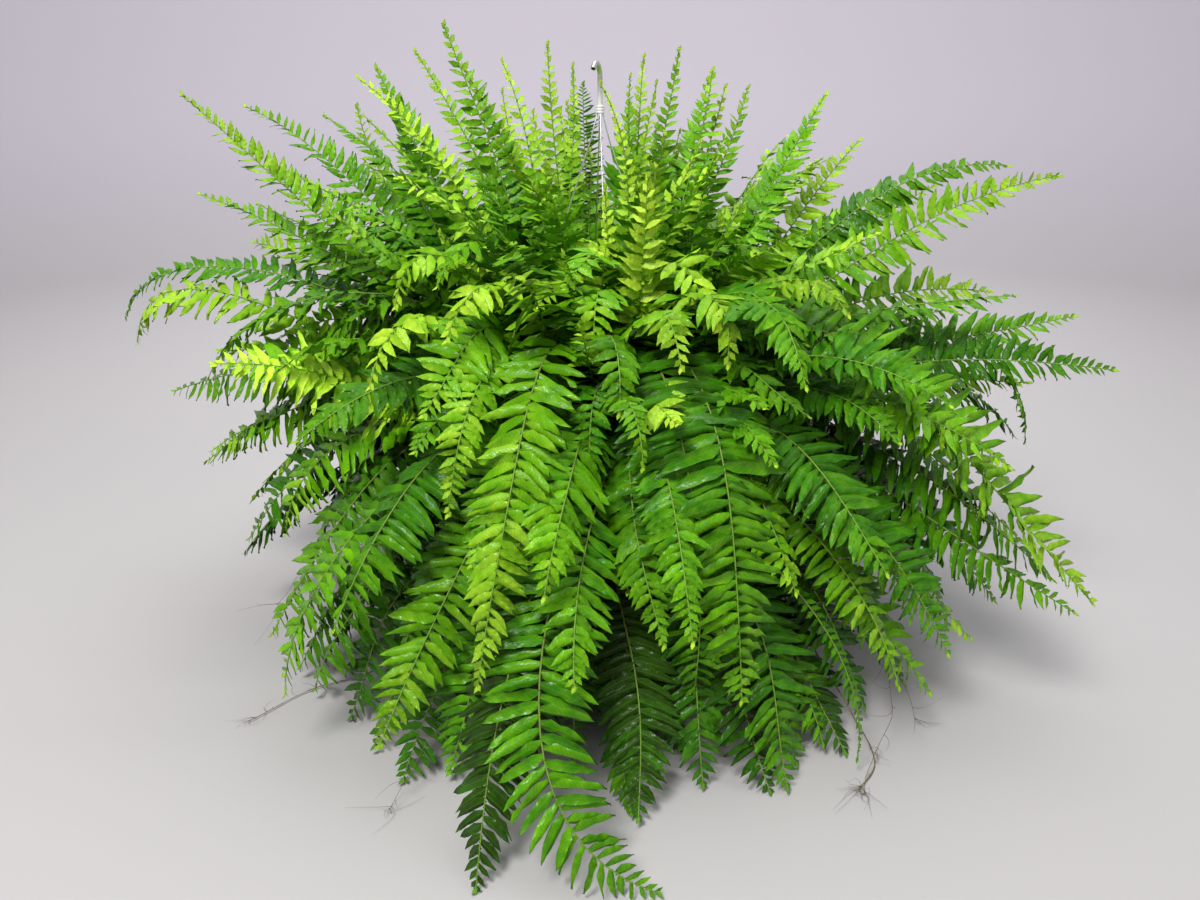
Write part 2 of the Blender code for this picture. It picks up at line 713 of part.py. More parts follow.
def frond_solid(name, shape, group):
    """Return one frond's blade as a solid, thick at the rib and thin at the leaflets."""
    points, faces, fullness = shape.sheet()
    form = bmesh.new()
    verts = [form.verts.new(point) for point in points]
    for face in faces:
        form.faces.new([verts[index] for index in face])
    mesh = bpy.data.meshes.new(name)
    form.to_mesh(mesh)
    form.free()
    made = add_object(name, mesh, group)
    weights = made.vertex_groups.new(name="fullness")
    for index, full in enumerate(fullness):
        weights.add([index], full, "REPLACE")
    shell = made.modifiers.new("thickness", "SOLIDIFY")
    shell.thickness = RIB_THICKNESS
    shell.offset = 0.0
    shell.vertex_group = weights.name
    shell.thickness_vertex_group = LEAFLET_THICKNESS / RIB_THICKNESS
    return made


def build_crown(name, root, shapes, finish, parts):
    """Return one crown with its fronds, joined in one body."""
    repeats = new_collection("repeats")
    for place, shape in enumerate(shapes):
        frond_solid(f"{name}_blade_{place}", shape, repeats)
    middle = Vector((root.x, root.y, (CROWN_BOTTOM + CROWN_TOP) / 2))
    crown = prism(f"{name}_crown", middle, CROWN_RADIUS, CROWN_TOP - CROWN_BOTTOM, CROWN_SIDES,
                  bpy.context.scene.collection)
    join_with(crown, "UNION", repeats, "MANIFOLD")
    made = add_object(name, frozen_mesh(crown, name), parts, finish)
    for loose in [*repeats.objects, crown]:
        bpy.data.objects.remove(loose, do_unlink=True)
    bpy.data.collections.remove(repeats)
    return made


def frond_finish(fronds):
    """Return the green of a crown's fronds: young at the crest, dark low down."""
    if fronds[0].tier == "crest":
        return "frond_young"
    return "frond_shade" if fronds[0].tier == "skirt" else "frond_green"


def main():
    """Build the whole plant."""
    clear_scene()
    parts = new_collection("boston_fern_hanging_pot")
    cutters = new_collection("cutters")
    pot = build_pot(parts, cutters)
    hanger = build_hanger(parts, cutters)
    runners = [wire(name, smooth_path(route, RUNNER_STEP), RUNNER_RADIUS, parts, "runner_tan")
               for name, route in RUNNERS.items()]
    crowns = plan_crowns(FRONDS + rear_fronds())
    sockets = [(root, CROWN_HOLE_RADIUS) for _, root, _ in crowns]
    sockets += [(Vector(route[0]) / 100.0, RUNNER_HOLE_RADIUS) for route in RUNNERS.values()]
    build_soil(parts, cutters, sockets)
    throat = as_cutter(prism("hook_throat", HOOK_THROAT, HOOK_RADIUS, 0.04, 8, cutters))
    fixed = [tree_of(made, CLEARANCE) for made in [pot, *hanger, *runners, throat]]
    shapes = settle(crowns, fixed)
    for crown, (name, root, fronds) in enumerate(crowns):
        group = [shapes[crown, place] for place in range(len(fronds))]
        build_crown(name, root, group, frond_finish(fronds), parts)


main()
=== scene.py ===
"""Looks of a Boston fern in a hanging pot.

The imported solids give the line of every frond. Each frond is grown again here along that line
with its full number of leaflets, and the pot, soil, runners and wire hanger get their finished
surfaces.
Metres, +Z up, and the front of the plant faces -Y.
"""

import logging
import math
import random
from collections.abc import Callable, Sequence
from dataclasses import dataclass, field, replace
from enum import Enum
from functools import cache, partial

import bmesh
import bpy
from mathutils import Matrix, Vector, noise
from mathutils.kdtree import KDTree


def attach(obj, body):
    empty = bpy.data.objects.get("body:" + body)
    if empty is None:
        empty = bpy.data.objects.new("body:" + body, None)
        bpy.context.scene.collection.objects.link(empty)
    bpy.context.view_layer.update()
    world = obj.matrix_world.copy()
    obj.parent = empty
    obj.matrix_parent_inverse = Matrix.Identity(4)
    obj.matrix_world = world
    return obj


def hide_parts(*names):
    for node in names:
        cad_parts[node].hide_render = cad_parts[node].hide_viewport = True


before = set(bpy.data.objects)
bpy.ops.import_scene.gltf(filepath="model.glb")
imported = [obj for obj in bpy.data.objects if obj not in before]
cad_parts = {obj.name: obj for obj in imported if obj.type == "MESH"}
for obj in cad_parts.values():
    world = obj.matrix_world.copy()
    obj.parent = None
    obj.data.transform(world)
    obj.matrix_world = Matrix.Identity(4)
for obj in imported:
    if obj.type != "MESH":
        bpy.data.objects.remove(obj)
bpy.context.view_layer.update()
LOG = logging.getLogger("fern")

Colour = tuple[float, float, float]
Point = tuple[float, float, float]
Span = tuple[float, float]
Mesh = bpy.types.Mesh
Socket = bpy.types.NodeSocket
# A point of a line, and the two directions across the line there
Stand = tuple[Vector, Vector, Vector]
# A point of a frond's stalk, and the side, forward and up directions there
Station = tuple[Vector, Vector, Vector, Vector]

# The rule that the solids' fronds follow
SEED = 7
TRIES = 120
CURVE_SAMPLES = 48
LYING = 0.0022
SOLID_PITCH = 0.049
SICKLE = 0.30
DROOP = 0.22
TIP_WIDTH = 0.28
TAPER_FROM = 0.5
TAPER_POWER = 1.6
LEAST_PAIRS = 6
MOST_BARE = 0.45
ARCH_END = 0.8
TANGENT_STEP = 0.02
ROOT_HEIGHT = 0.1440
CROWN_SPACING = 0.0115
CROWN_LAP = 350.0
SPREAD_ROUNDS = 400
REAR_SCATTER = 0.02
REAR_SWING = 7.0
REAR_ROLL = 18.0
LEAST_RISE = 0.004

# How far the last try's lean may stray, in degrees or as a share
LAUNCH_SCATTER = 16.0
AIM_SCATTER = 70.0
ROLL_SCATTER = 45.0
ARCH_SCATTER = 0.35
BARE_SCATTER = 0.6
LEAFLET_SCATTER = 0.35
# From this try on, the tip strays too, in metres
TIP_STRAYS_FROM = 12
TIP_SCATTER = 0.035

# A leaflet's length at the foot of the blade, what it gains, and from which share it is full
FOOT_LENGTH = 0.42
FOOT_GAIN = 0.58
FULL_AT = 0.3

# How close a matched frond's leaflet tips lie to the middle of its solid, and how far is a fault
MATCHED = 0.00006
STRAYED = 0.0010

# What lies below this height is pressed against the table, over this softness
PRESSED_BELOW = 0.02
PRESS_SOFTNESS = 4e-7
PRESS_SINK = 0.0006

# Name of the UV map that patterns follow, and the sharpest smooth edges in radians
FORM_MAP = "form"
CREASE = 0.6
LEAFLET_CREASE = 1.2
CRUMB_CREASE = 0.3


class Storey(Enum):
    """The storeys of fronds, from the top of the mound to the table."""

    CREST = "crest"
    UPPER = "upper"
    SHOULDER = "shoulder"
    WAIST = "waist"
    SKIRT = "skirt"


@dataclass(frozen=True)
class Tier:
    """Where a storey's fronds root, how they usually grow, and how young and full they are."""

    circle: float
    slots: int
    launch: float
    slope: float
    arch: float
    leaflet: float
    bare: float
    slot: str
    youth: float
    greening: float
    fullness: float
    spacing: float
    taper_from: float


TIERS: dict[Storey, Tier] = {
    Storey.CREST: Tier(0.015, 5, 84.0, 66.0, 0.17, 0.032, 0.13, "frond_young", 0.38, 0.50, 1.18,
                       1.22, 0.36),
    Storey.UPPER: Tier(0.035, 10, 72.0, 28.0, 0.19, 0.042, 0.10, "frond_green", 0.27, 0.50, 1.10,
                       1.14, 0.47),
    Storey.SHOULDER: Tier(0.055, 10, 66.0, -10.0, 0.20, 0.048, 0.09, "frond_green", 0.19, 0.46,
                          1.0, 1.0, 0.54),
    Storey.WAIST: Tier(0.075, 12, 60.0, -55.0, 0.20, 0.050, 0.085, "frond_green", 0.13, 0.42,
                       0.96, 1.04, 0.54),
    Storey.SKIRT: Tier(0.094, 12, 50.0, -58.0, 0.15, 0.050, 0.07, "frond_shade", 0.07, 0.22, 0.92,
                       1.10, 0.56),
}


@dataclass(frozen=True)
class Frond:
    """One frond: where its tip is, in centimetres, and how it bends."""

    tip: Point
    launch: float | None = None
    slope: float | None = None
    arch: float | None = None
    leaflet: float | None = None
    roll: float = 0.0
    face: float = 0.0
    sweep: float = 0.0
    youth: float | None = None
    fullness: float | None = None
    spacing: float | None = None
    taper_from: float | None = None

    def value(self, name: str, tier: Tier) -> float:
        """Return this frond's own value, or its tier's usual one."""
        own = getattr(self, name)
        return getattr(tier, name) if own is None else own


FRONT_FRONDS: dict[Storey, list[Frond]] = {
    Storey.CREST: [
        Frond((-15, 0, 63.5), 84, 74, 0.14, 0.032, face=-80),
        Frond((-19, 5, 61.5), 78, 52, 0.16, 0.026, face=-65),
        Frond((-5.5, 5, 62), 88, 84, 0.12, 0.024, face=-48),
        Frond((5, 9, 61), 88, 82, 0.12, 0.024, face=30),
        Frond((8, 5, 61.5), 86, 86, 0.12, 0.024, face=55),
        Frond((12, 13, 59), 84, 76, 0.14, 0.032, face=45),
        Frond((16, 9, 58), 80, 70, 0.14, 0.028, face=58),
        Frond((-25, 0, 59.5), 74, 36, 0.18, 0.030, roll=-45),
        Frond((5, -15, 51), 80, 80, 0.10, 0.030, youth=0.60),
        Frond((-4, 22, 57), 80, 62, 0.14, 0.030),
    ],
    Storey.UPPER: [
        Frond((-40, -4, 56.5), 62, 42, 0.18, 0.032, roll=-42),
        Frond((-38, 6, 56), 68, 22, 0.18, 0.032, roll=-36),
        Frond((-27.5, 11, 56), 70, 84, 0.14, 0.028, face=-68),
        Frond((-38, 12, 50.5), 66, 22, 0.18, 0.034, roll=-38),
        Frond((-40, -2, 46.5), 64, 18, 0.18, 0.034, roll=-30),
        Frond((23, 1, 56.5), 72, 58, 0.15, 0.036, face=48),
        Frond((28.5, 6, 52), 70, 46, 0.15, 0.034, roll=38),
        Frond((34, 9, 47), 68, 26, 0.17, 0.034, roll=40),
        Frond((39, 12, 47.5), 66, 24, 0.18, 0.034, roll=36),
        Frond((45, -5, 49.5), 66, 10, 0.19, 0.036, roll=58),
        Frond((1, -23, 41), 78, 44, 0.13, 0.036),
        Frond((-12, -15, 49), 80, 66, 0.13, 0.036, roll=-12),
        Frond((14, -14, 49), 80, 64, 0.13, 0.036, roll=12),
        Frond((-25, -13, 47), 74, 38, 0.15, 0.038, roll=-32),
        Frond((25, -15, 45), 74, 26, 0.15, 0.042, roll=28),
    ],
    Storey.SHOULDER: [
        Frond((12, -33, 9), 84, -86, 0.34, 0.062),
        Frond((44.6, -25.2, 13.6), 72, -46, 0.38, 0.056, roll=14),
        Frond((-9.5, -37, 13), 82, -72, 0.33, 0.042),
        Frond((8, -38, 17), 74, -54, 0.25, 0.038, roll=10),
        Frond((-13, -30, 25), 80, -70, 0.22, 0.034, roll=-18),
        Frond((-35, -15, 33), 66, 0, 0.18, roll=-32),
        Frond((-25, -27, 30), 70, -30, 0.18, 0.042, roll=-18),
        Frond((30, -24, 32), 70, -30, 0.18, 0.042, roll=18),
        Frond((-41, 12, 41), 64, 12, roll=-34),
        Frond((-48.4, -4, 33.5), 88, -74, 0.235, 0.040, roll=-26, sweep=16),
        Frond((42, 0, 37), 66, -6, 0.19, roll=34),
        Frond((48, -7, 36), 62, 14, 0.19, 0.038, roll=42),
        Frond((50, -12, 32), 60, -2, 0.20, 0.038, roll=40),
    ],
    Storey.WAIST: [
        Frond((-47, -1, 26), 60, -20, 0.20, roll=-26),
        Frond((-48, 5, 16), 60, -38, 0.22, roll=-20),
        Frond((50, 6, 18.5), 60, -52, 0.22, roll=22),
        Frond((-31, -23, 9), 64, -62, 0.21, roll=-10),
        Frond((24, -31, 20), 66, -44, 0.20, roll=10),
        Frond((5, -30, 27), 70, -80, 0.17, 0.026),
        Frond((31, -28, 10), 64, -58, 0.21, roll=8),
        Frond((-22, -32, 15), 66, -62, 0.21),
        Frond((41, -15, 8), 60, -50, 0.20, roll=14),
        Frond((-36.5, -12.5, 14), 60, -54, 0.20, roll=-14),
    ],
    Storey.SKIRT: [
        Frond((-41, -4, 8)),
        Frond((-31, -18, 2)),
        Frond((-17, -33, 0.4), slope=-45),
        Frond((-9.5, -45, 0.5), 56, -62, 0.20),
        Frond((4.4, -45, 0.8), 54, -20, 0.25, sweep=82),
        Frond((4.2, -38.5, 0.5), 40, -20, 0.134, sweep=17),
        Frond((15, -34, 0.4), slope=-45),
        Frond((22, -30, 0.4), slope=-42),
        Frond((31, -20, 2)),
        Frond((38, -8, 5)),
        Frond((-24, -14, 1.5), 46, -78, 0.11, 0.034),
        Frond((-9, -26, 2), 46, -80, 0.11, 0.034),
        Frond((10, -25, 3), 46, -80, 0.11, 0.034),
    ],
}

# Rear fronds of a storey: count, first and last heading, reach, tip height
REAR_FRONDS: dict[Storey, tuple[int, float, float, float, float]] = {
    Storey.UPPER: (5, 44.0, 136.0, 0.40, 0.49),
    Storey.SHOULDER: (5, 30.0, 150.0, 0.47, 0.35),
    Storey.WAIST: (5, 26.0, 154.0, 0.47, 0.19),
    Storey.SKIRT: (6, 18.0, 162.0, 0.41, 0.03),
}


def polar(radius: float, heading: float, height: float) -> Vector:
    """Return the point at a radius, a heading in degrees and a height."""
    angle = math.radians(heading)
    return Vector((radius * math.cos(angle), radius * math.sin(angle), height))


def heading_of(point: Point) -> float:
    """Return a point's heading round the Z axis in degrees."""
    return math.degrees(math.atan2(point[1], point[0]))


def smoothstep(value: float) -> float:
    """Ease a value from 0 to 1."""
    value = min(max(value, 0.0), 1.0)
    return value * value * (3.0 - 2.0 * value)


def swell(share: float) -> float:
    """Return how full the leaflets are at a share of the blade, near its foot."""
    return FOOT_LENGTH + FOOT_GAIN * smoothstep(share / FULL_AT)


def tapered(share: float, start: float, tip: float, power: float) -> float:
    """Return how full a blade still is at a share of its length, from 1 down to its tip's share."""
    beyond = max(0.0, (share - start) / (1.0 - start))
    return 1.0 - (1.0 - tip) * beyond ** power


def lifted(height: float) -> float:
    """Return a height that is pressed smoothly against the table instead of passing through it."""
    above = height - LYING
    return LYING + 0.5 * (above + math.sqrt(above * above + PRESS_SOFTNESS)) - PRESS_SINK


def shown(name: str, data: bpy.types.ID) -> bpy.types.Object:
    """Return a new object of the scene.

    Args:
        name: Its name.
        data: Its mesh, camera or light.

    Returns:
        The object, linked to the scene.
    """
    thing = bpy.data.objects.new(name, data)
    bpy.context.scene.collection.objects.link(thing)
    return thing


def drawn(name: str, form: bmesh.types.BMesh) -> Mesh:
    """Return a finished form as a mesh.

    Args:
        name: The mesh's name.
        form: The form, which is used up.

    Returns:
        The mesh.
    """
    mesh = bpy.data.meshes.new(name)
    form.to_mesh(mesh)
    form.free()
    return mesh


class Recipe:
    """A material's node tree, written as short calls."""

    def __init__(self, name: str) -> None:
        """Start a material with a Principled shader.

        Args:
            name: The material's name.
        """
        self.material = bpy.data.materials.new(name)
        self.material.use_nodes = True
        self.tree = self.material.node_tree
        self.shader = self.tree.nodes["Principled BSDF"]

    def feed(self, socket: Socket, value: object) -> None:
        """Link a socket to another one, or set its value.

        Args:
            socket: The input.
            value: The socket or the value that it gets.
        """
        if isinstance(value, Socket):
            self.tree.links.new(value, socket)
        else:
            socket.default_value = value

    def node(self, kind: str, inputs: dict[str | int, object] | None = None,
             **settings: object) -> bpy.types.Node:
        """Add a node.

        Args:
            kind: The node type's name after ShaderNode.
            inputs: Values or sockets by input name or number.
            settings: The node's own settings.

        Returns:
            The new node.
        """
        made = self.tree.nodes.new("ShaderNode" + kind)
        for name, value in settings.items():
            setattr(made, name, value)
        for name, value in (inputs or {}).items():
            self.feed(made.inputs[name], value)
        return made

    def math(self, operation: str, first: object, second: object = 0.5) -> Socket:
        """Return the result of a Math node."""
        return self.node("Math", {0: first, 1: second}, operation=operation).outputs[0]

    def add(self, first: object, second: object) -> Socket:
        """Return a sum."""
        return self.math("ADD", first, second)

    def less(self, first: object, second: object) -> Socket:
        """Return a difference."""
        return self.math("SUBTRACT", first, second)

    def times(self, first: object, second: object) -> Socket:
        """Return a product."""
        return self.math("MULTIPLY", first, second)

    def attribute(self, name: str) -> Socket:
        """Return a number that the mesh carries."""
        return self.node("Attribute", attribute_name=name).outputs["Fac"]

    def place(self) -> Socket:
        """Return the object coordinates."""
        return self.node("TexCoord").outputs["Object"]

    def stretched(self, scale: Point) -> Socket:
        """Return the object coordinates, scaled along each axis."""
        return self.node("Mapping", {"Vector": self.place(), "Scale": scale}).outputs["Vector"]

    def part(self, vector: Socket, axis: str) -> Socket:
        """Return one coordinate of a vector."""
        return self.node("SeparateXYZ", {"Vector": vector}).outputs[axis]

    def form(self) -> tuple[Socket, Socket]:
        """Return the two coordinates of the piece's own UV map."""
        at = self.node("UVMap", uv_map=FORM_MAP).outputs["UV"]
        return self.part(at, "X"), self.part(at, "Y")

    def noise(self, scale: float, detail: float = 3.0, at: object = None) -> Socket:
        """Return a noise value at a scale in features a metre."""
        inputs = {"Vector": at or self.place(), "Scale": scale, "Detail": detail}
        return self.node("TexNoise", inputs).outputs["Fac"]

    def ramp(self, value: object, stops: list[tuple[float, Colour]]) -> Socket:
        """Return a colour read from a ramp.

        Args:
            value: The number that places the reading.
            stops: Each stop's place from 0 to 1, and its colour.

        Returns:
            The colour socket.
        """
        made = self.node("ValToRGB", {"Fac": value})
        while len(made.color_ramp.elements) < len(stops):
            made.color_ramp.elements.new(1.0)
        for element, (spot, colour) in zip(made.color_ramp.elements, stops):
            element.position = spot
            element.color = (*colour, 1.0)
        return made.outputs["Color"]

    def span(self, value: object, *ends: float) -> Socket:
        """Return a value moved from one range's ends to another's, and held between them."""
        names = ("Value", "From Min", "From Max", "To Min", "To Max")
        return self.node("MapRange", dict(zip(names, (value, *ends)))).outputs["Result"]

    def mix(self, share: object, first: object, second: object, blend: str = "MIX") -> Socket:
        """Return two colours mixed.

        Args:
            share: How much of the second one shows.
            first: A colour or its socket.
            second: The other one.
            blend: How the two are blended.

        Returns:
            The colour socket.
        """
        made = self.node("Mix", data_type="RGBA", blend_type=blend)
        for spot, value in ((0, share), (6, first), (7, second)):
            if isinstance(value, tuple):
                value = (*value, 1.0)
            self.feed(made.inputs[spot], value)
        return made.outputs[2]

    def bump(self, height: object, distance: float, strength: float = 1.0) -> None:
        """Raise the surface by a height value, at a distance in metres."""
        inputs = {"Height": height, "Distance": distance, "Strength": strength}
        self.feed(self.shader.inputs["Normal"], self.node("Bump", inputs).outputs["Normal"])

    def finish(self, **inputs: object) -> None:
        """Set the shader's inputs by name, with _ for a space."""
        for name, value in inputs.items():
            self.feed(self.shader.inputs[name.replace("_", " ")], value)


@dataclass(frozen=True)
class Finish:
    """A finish, by the name of its material."""

    name: str

    def paint(self, r: Recipe) -> None:
        """Set up the finish in a material's node tree."""
        raise NotImplementedError

    @cache
    def material(self) -> bpy.types.Material:
        """Return the material, which the first call makes.

        Returns:
            The material.
        """
        recipe = Recipe(self.name)
        self.paint(recipe)
        return recipe.material


@dataclass(frozen=True)
class LeafFinish(Finish):
    """Leaf tissue that pales with youth, with a light midrib, side veins and a waxy sheen."""

    old: Colour = (0.022, 0.068, 0.002)
    mature: Colour = (0.039, 0.194, 0.002)
    fresh: Colour = (0.152, 0.430, 0.003)
    young: Colour = (0.560, 0.840, 0.050)
    vein: Colour = (0.012, 0.090, 0.004)
    midrib: Colour = (0.26, 0.50, 0.06)
    margin: Colour = (0.20, 0.42, 0.02)
    pale: Colour = (0.16, 0.36, 0.07)
    paleness: float = 0.0
    gloss: float = 0.27
    waves: float = 4.0

    def paint(self, r: Recipe) -> None:
        """Paint the leaf.

        Args:
            r: The material's recipe.
        """
        across, along = r.form()
        patches = r.span(r.noise(60.0, 2.0), 0.3, 0.7, -0.10, 0.10)
        youth = r.add(r.attribute("youth"), patches)
        tissue = r.ramp(youth, [(0.0, self.old), (0.25, self.mature), (0.55, self.fresh),
                                (1.0, self.young)])
        off_rib = r.math("ABSOLUTE", r.less(across, 0.5))
        slant = r.add(r.times(along, 75.0), r.times(off_rib, 16.0))
        veins = r.span(r.math("SINE", slant, 0.0), 0.55, 1.0, 0.0, 0.24)
        tissue = r.mix(veins, tissue, self.vein)
        rib = r.span(off_rib, 0.015, 0.06, 0.14, 0.0)
        tissue = r.mix(rib, tissue, self.midrib)
        tissue = r.mix(r.span(off_rib, 0.40, 0.50, 0.0, 0.12), tissue, self.margin)
        tissue = r.mix(r.span(youth, 0.30, 0.75, self.paleness, 0.0), tissue, self.pale)
        tone = r.attribute("tone")
        shade = r.node("HueSaturation", {"Value": tone, "Color": tissue}).outputs["Color"]
        phase = r.add(r.times(along, self.waves * math.tau), r.times(tone, 40.0))
        ruffle = r.times(r.math("SINE", phase, 0.0), r.span(off_rib, 0.12, 0.5, 0.0, 1.0))
        height = r.less(r.add(r.times(ruffle, 1.1), rib), r.times(veins, 0.9))
        r.bump(height, 0.0005, 0.8)
        rough = r.span(r.noise(140.0), 0.3, 0.7, self.gloss - 0.05, self.gloss + 0.10)
        r.finish(Base_Color=shade, Roughness=rough, Specular_IOR_Level=0.20)


@dataclass(frozen=True)
class StalkFinish(Finish):
    """A frond's stalk: brown and scaly at its foot, tan and then pale green further out."""

    foot: Colour = (0.050, 0.024, 0.008)
    tan: Colour = (0.125, 0.085, 0.020)
    green: Colour = (0.170, 0.230, 0.030)
    tip: Colour = (0.180, 0.430, 0.020)
    scaly: Colour = (0.110, 0.060, 0.016)

    def paint(self, r: Recipe) -> None:
        """Paint the stalk.

        Args:
            r: The material's recipe.
        """
        around, along = r.form()
        skin = r.ramp(r.attribute("youth"),
                      [(0.0, self.foot), (0.25, self.tan), (0.60, self.green), (1.0, self.tip)])
        at = r.node("CombineXYZ", {"X": r.times(around, 14.0), "Y": r.times(along, 40.0)})
        grain = r.noise(1.0, 2.0, at.outputs[0])
        skin = r.mix(r.span(grain, 0.35, 0.75, 0.0, 0.5), skin, self.scaly)
        r.bump(grain, 0.0002, 0.5)
        r.finish(Base_Color=skin, Roughness=0.5)


@dataclass(frozen=True)
class WoodyFinish(Finish):
    """A fibrous woody skin, for runners, roots and the scales of the crowns."""

    dark: Colour
    light: Colour
    roughness: float = 0.8

    def paint(self, r: Recipe) -> None:
        """Paint the woody skin.

        Args:
            r: The material's recipe.
        """
        fibre = r.noise(420.0, 4.0)
        blotch = r.noise(70.0, 2.0)
        skin = r.mix(r.span(fibre, 0.3, 0.7, 0.0, 1.0), self.dark, self.light)
        skin = r.mix(r.span(blotch, 0.45, 0.65, 0.0, 0.5), skin, self.dark)
        r.bump(fibre, 0.0005, 0.7)
        rough = r.span(blotch, 0.3, 0.7, self.roughness - 0.1, self.roughness + 0.1)
        r.finish(Base_Color=skin, Roughness=rough)


@dataclass(frozen=True)
class SoilFinish(Finish):
    """Moist peat with fibres and pale flecks of perlite."""

    name: str = "peat"
    dark: Colour = (0.012, 0.007, 0.004)
    light: Colour = (0.090, 0.052, 0.028)
    clod: Colour = (0.030, 0.020, 0.012)
    fleck: Colour = (0.55, 0.53, 0.47)

    def paint(self, r: Recipe) -> None:
        """Paint the soil.

        Args:
            r: The material's recipe.
        """
        crumb = r.noise(260.0, 8.0)
        clods = r.noise(45.0, 3.0)
        peat = r.mix(crumb, self.dark, self.light)
        peat = r.mix(r.span(clods, 0.4, 0.7, 0.0, 0.6), peat, self.clod)
        cells = r.node("TexVoronoi", {"Vector": r.place(), "Scale": 190.0}).outputs["Distance"]
        chosen = r.math("GREATER_THAN", r.noise(85.0, 1.0), 0.63)
        fleck = r.times(r.span(cells, 0.15, 0.28, 1.0, 0.0), chosen)
        peat = r.mix(fleck, peat, self.fleck)
        r.bump(r.add(crumb, r.times(fleck, 0.6)), 0.0022)
        r.finish(Base_Color=peat, Roughness=0.93)


@dataclass(frozen=True)
class PotFinish(Finish):
    """Dark green moulded plastic with a fine grain, scuffs, and dried splashes low down."""

    name: str = "moulded_plastic"
    shade: Colour = (0.012, 0.026, 0.017)
    scuffed: Colour = (0.050, 0.070, 0.055)
    splashed: Colour = (0.120, 0.105, 0.080)

    def paint(self, r: Recipe) -> None:
        """Paint the pot.

        Args:
            r: The material's recipe.
        """
        drift = r.noise(9.0, 4.0)
        colour = r.mix(r.span(drift, 0.35, 0.7, 0.0, 0.35), self.shade, self.scuffed)
        scratch = r.noise(1.0, 6.0, r.stretched((30.0, 30.0, 420.0)))
        colour = r.mix(r.span(scratch, 0.62, 0.74, 0.0, 0.5), colour, self.scuffed)
        low_down = r.span(r.part(r.place(), "Z"), 0.0, 0.05, 1.0, 0.0)
        splash = r.times(r.span(r.noise(160.0, 5.0), 0.55, 0.68, 0.0, 0.7), low_down)
        colour = r.mix(splash, colour, self.splashed)
        r.bump(r.noise(1500.0, 2.0), 0.00012, 0.6)
        r.finish(Base_Color=colour, Roughness=r.span(drift, 0.3, 0.7, 0.34, 0.52))


@dataclass(frozen=True)
class SteelFinish(Finish):
    """Galvanised wire with drawn lines, spangle and dull spots, and a painted white glare at its
    foot.
    """

    name: str = "galvanised_wire"
    bright: Colour = (0.86, 0.86, 0.84)
    dull: Colour = (0.56, 0.56, 0.54)
    # Colour of the painted glare, a painted highlight that stands in for bright light on the steel
    painted_glare: Colour = (0.86, 0.86, 0.84)

    def paint(self, r: Recipe) -> None:
        """Paint the wire.

        Args:
            r: The material's recipe.
        """
        cells = r.node("TexVoronoi", {"Vector": r.place(), "Scale": 650.0}).outputs["Color"]
        spangle = r.span(r.part(cells, "X"), 0.0, 1.0, 0.28, 0.42)
        dulled = r.span(r.noise(240.0, 4.0), 0.42, 0.70, 0.0, 0.8)
        colour = r.mix(dulled, self.bright, self.dull)
        r.bump(r.noise(1.0, 2.0, r.stretched((2600.0, 2600.0, 70.0))), 0.00006, 0.5)
        rough = r.add(spangle, r.times(dulled, 0.18))
        # Painted highlight: where youth is low, at a wire's foot, the hook's lower shank and the
        # whole ferrule (which carries no youth), the steel turns white, rougher and less metallic
        # to stand in for bright glare
        painted_glare = r.span(r.attribute("youth"), 0.10, 0.42, 1.0, 0.0)
        colour = r.mix(painted_glare, colour, self.painted_glare)
        rough = r.add(rough, r.times(painted_glare, 0.20))
        metal = r.less(1.0, r.times(painted_glare, 0.75))
        r.finish(Base_Color=colour, Roughness=rough, Metallic=metal)


@dataclass(frozen=True)
class StudioFinish(Finish):
    """A plain pale surface for the floor and backdrop."""

    low: Colour
    high: Colour
    roughness: float = 0.6

    def paint(self, r: Recipe) -> None:
        """Paint the surface, from floor to wall by height."""
        colour = r.mix(r.span(r.part(r.place(), "Z"), 0.0, 0.25, 0.0, 1.0), self.low, self.high)
        r.finish(Base_Color=colour, Roughness=self.roughness)


class Palette:
    """The finishes of the plant and of the studio."""

    LEAF = LeafFinish("leaf_top")
    UNDERSIDE = LeafFinish("leaf_underside", paleness=0.35, gloss=0.52)
    STALK = StalkFinish("leaf_stalk")
    SCALES = WoodyFinish("crown_scales", (0.030, 0.014, 0.006), (0.150, 0.080, 0.032))
    RUNNER = WoodyFinish("runner_skin", (0.090, 0.055, 0.022), (0.330, 0.260, 0.110), 0.6)
    ROOT = WoodyFinish("root_hair", (0.050, 0.034, 0.022), (0.210, 0.160, 0.100), 0.85)
    PEAT = SoilFinish()
    CRUMB = WoodyFinish("bark_crumb", (0.014, 0.008, 0.005), (0.100, 0.060, 0.034), 0.9)
    PERLITE = WoodyFinish("perlite", (0.420, 0.410, 0.380), (0.720, 0.710, 0.680), 0.9)
    PLASTIC = PotFinish()
    STEEL = SteelFinish()
    # End caps of the wires, painted near black: a painted dark reflection that stands in for the
    # dark the flat ends reflect
    CUT = SteelFinish("cut_end_painted_dark", (0.09, 0.09, 0.09), (0.03, 0.03, 0.03))
    STUDIO = StudioFinish("studio", (0.54, 0.53, 0.53), (0.55, 0.52, 0.57))


def present(name: str, mesh: Mesh, finishes: list[Finish],
            replaced: tuple[str, ...] = ()) -> None:
    """Show a mesh as a piece of the part, and report it.

    Args:
        name: The piece's name.
        mesh: Its mesh.
        finishes: The finishes of its material slots, in order.
        replaced: The nodes that it stands for.
    """
    for finish in finishes:
        mesh.materials.append(finish.material())
    piece = shown(name, mesh)
    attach(piece, "root")
    if replaced:
        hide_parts(*replaced)
    mesh.calc_loop_triangles()
    LOG.info("%s: %d triangles", name, len(mesh.loop_triangles))


def tree_of(points: Sequence[Vector]) -> KDTree:
    """Return a search tree of some points.

    Args:
        points: The points.

    Returns:
        The tree, with each point's number.
    """
    tree = KDTree(len(points))
    for index, point in enumerate(points):
        tree.insert(point, index)
    tree.balance()
    return tree


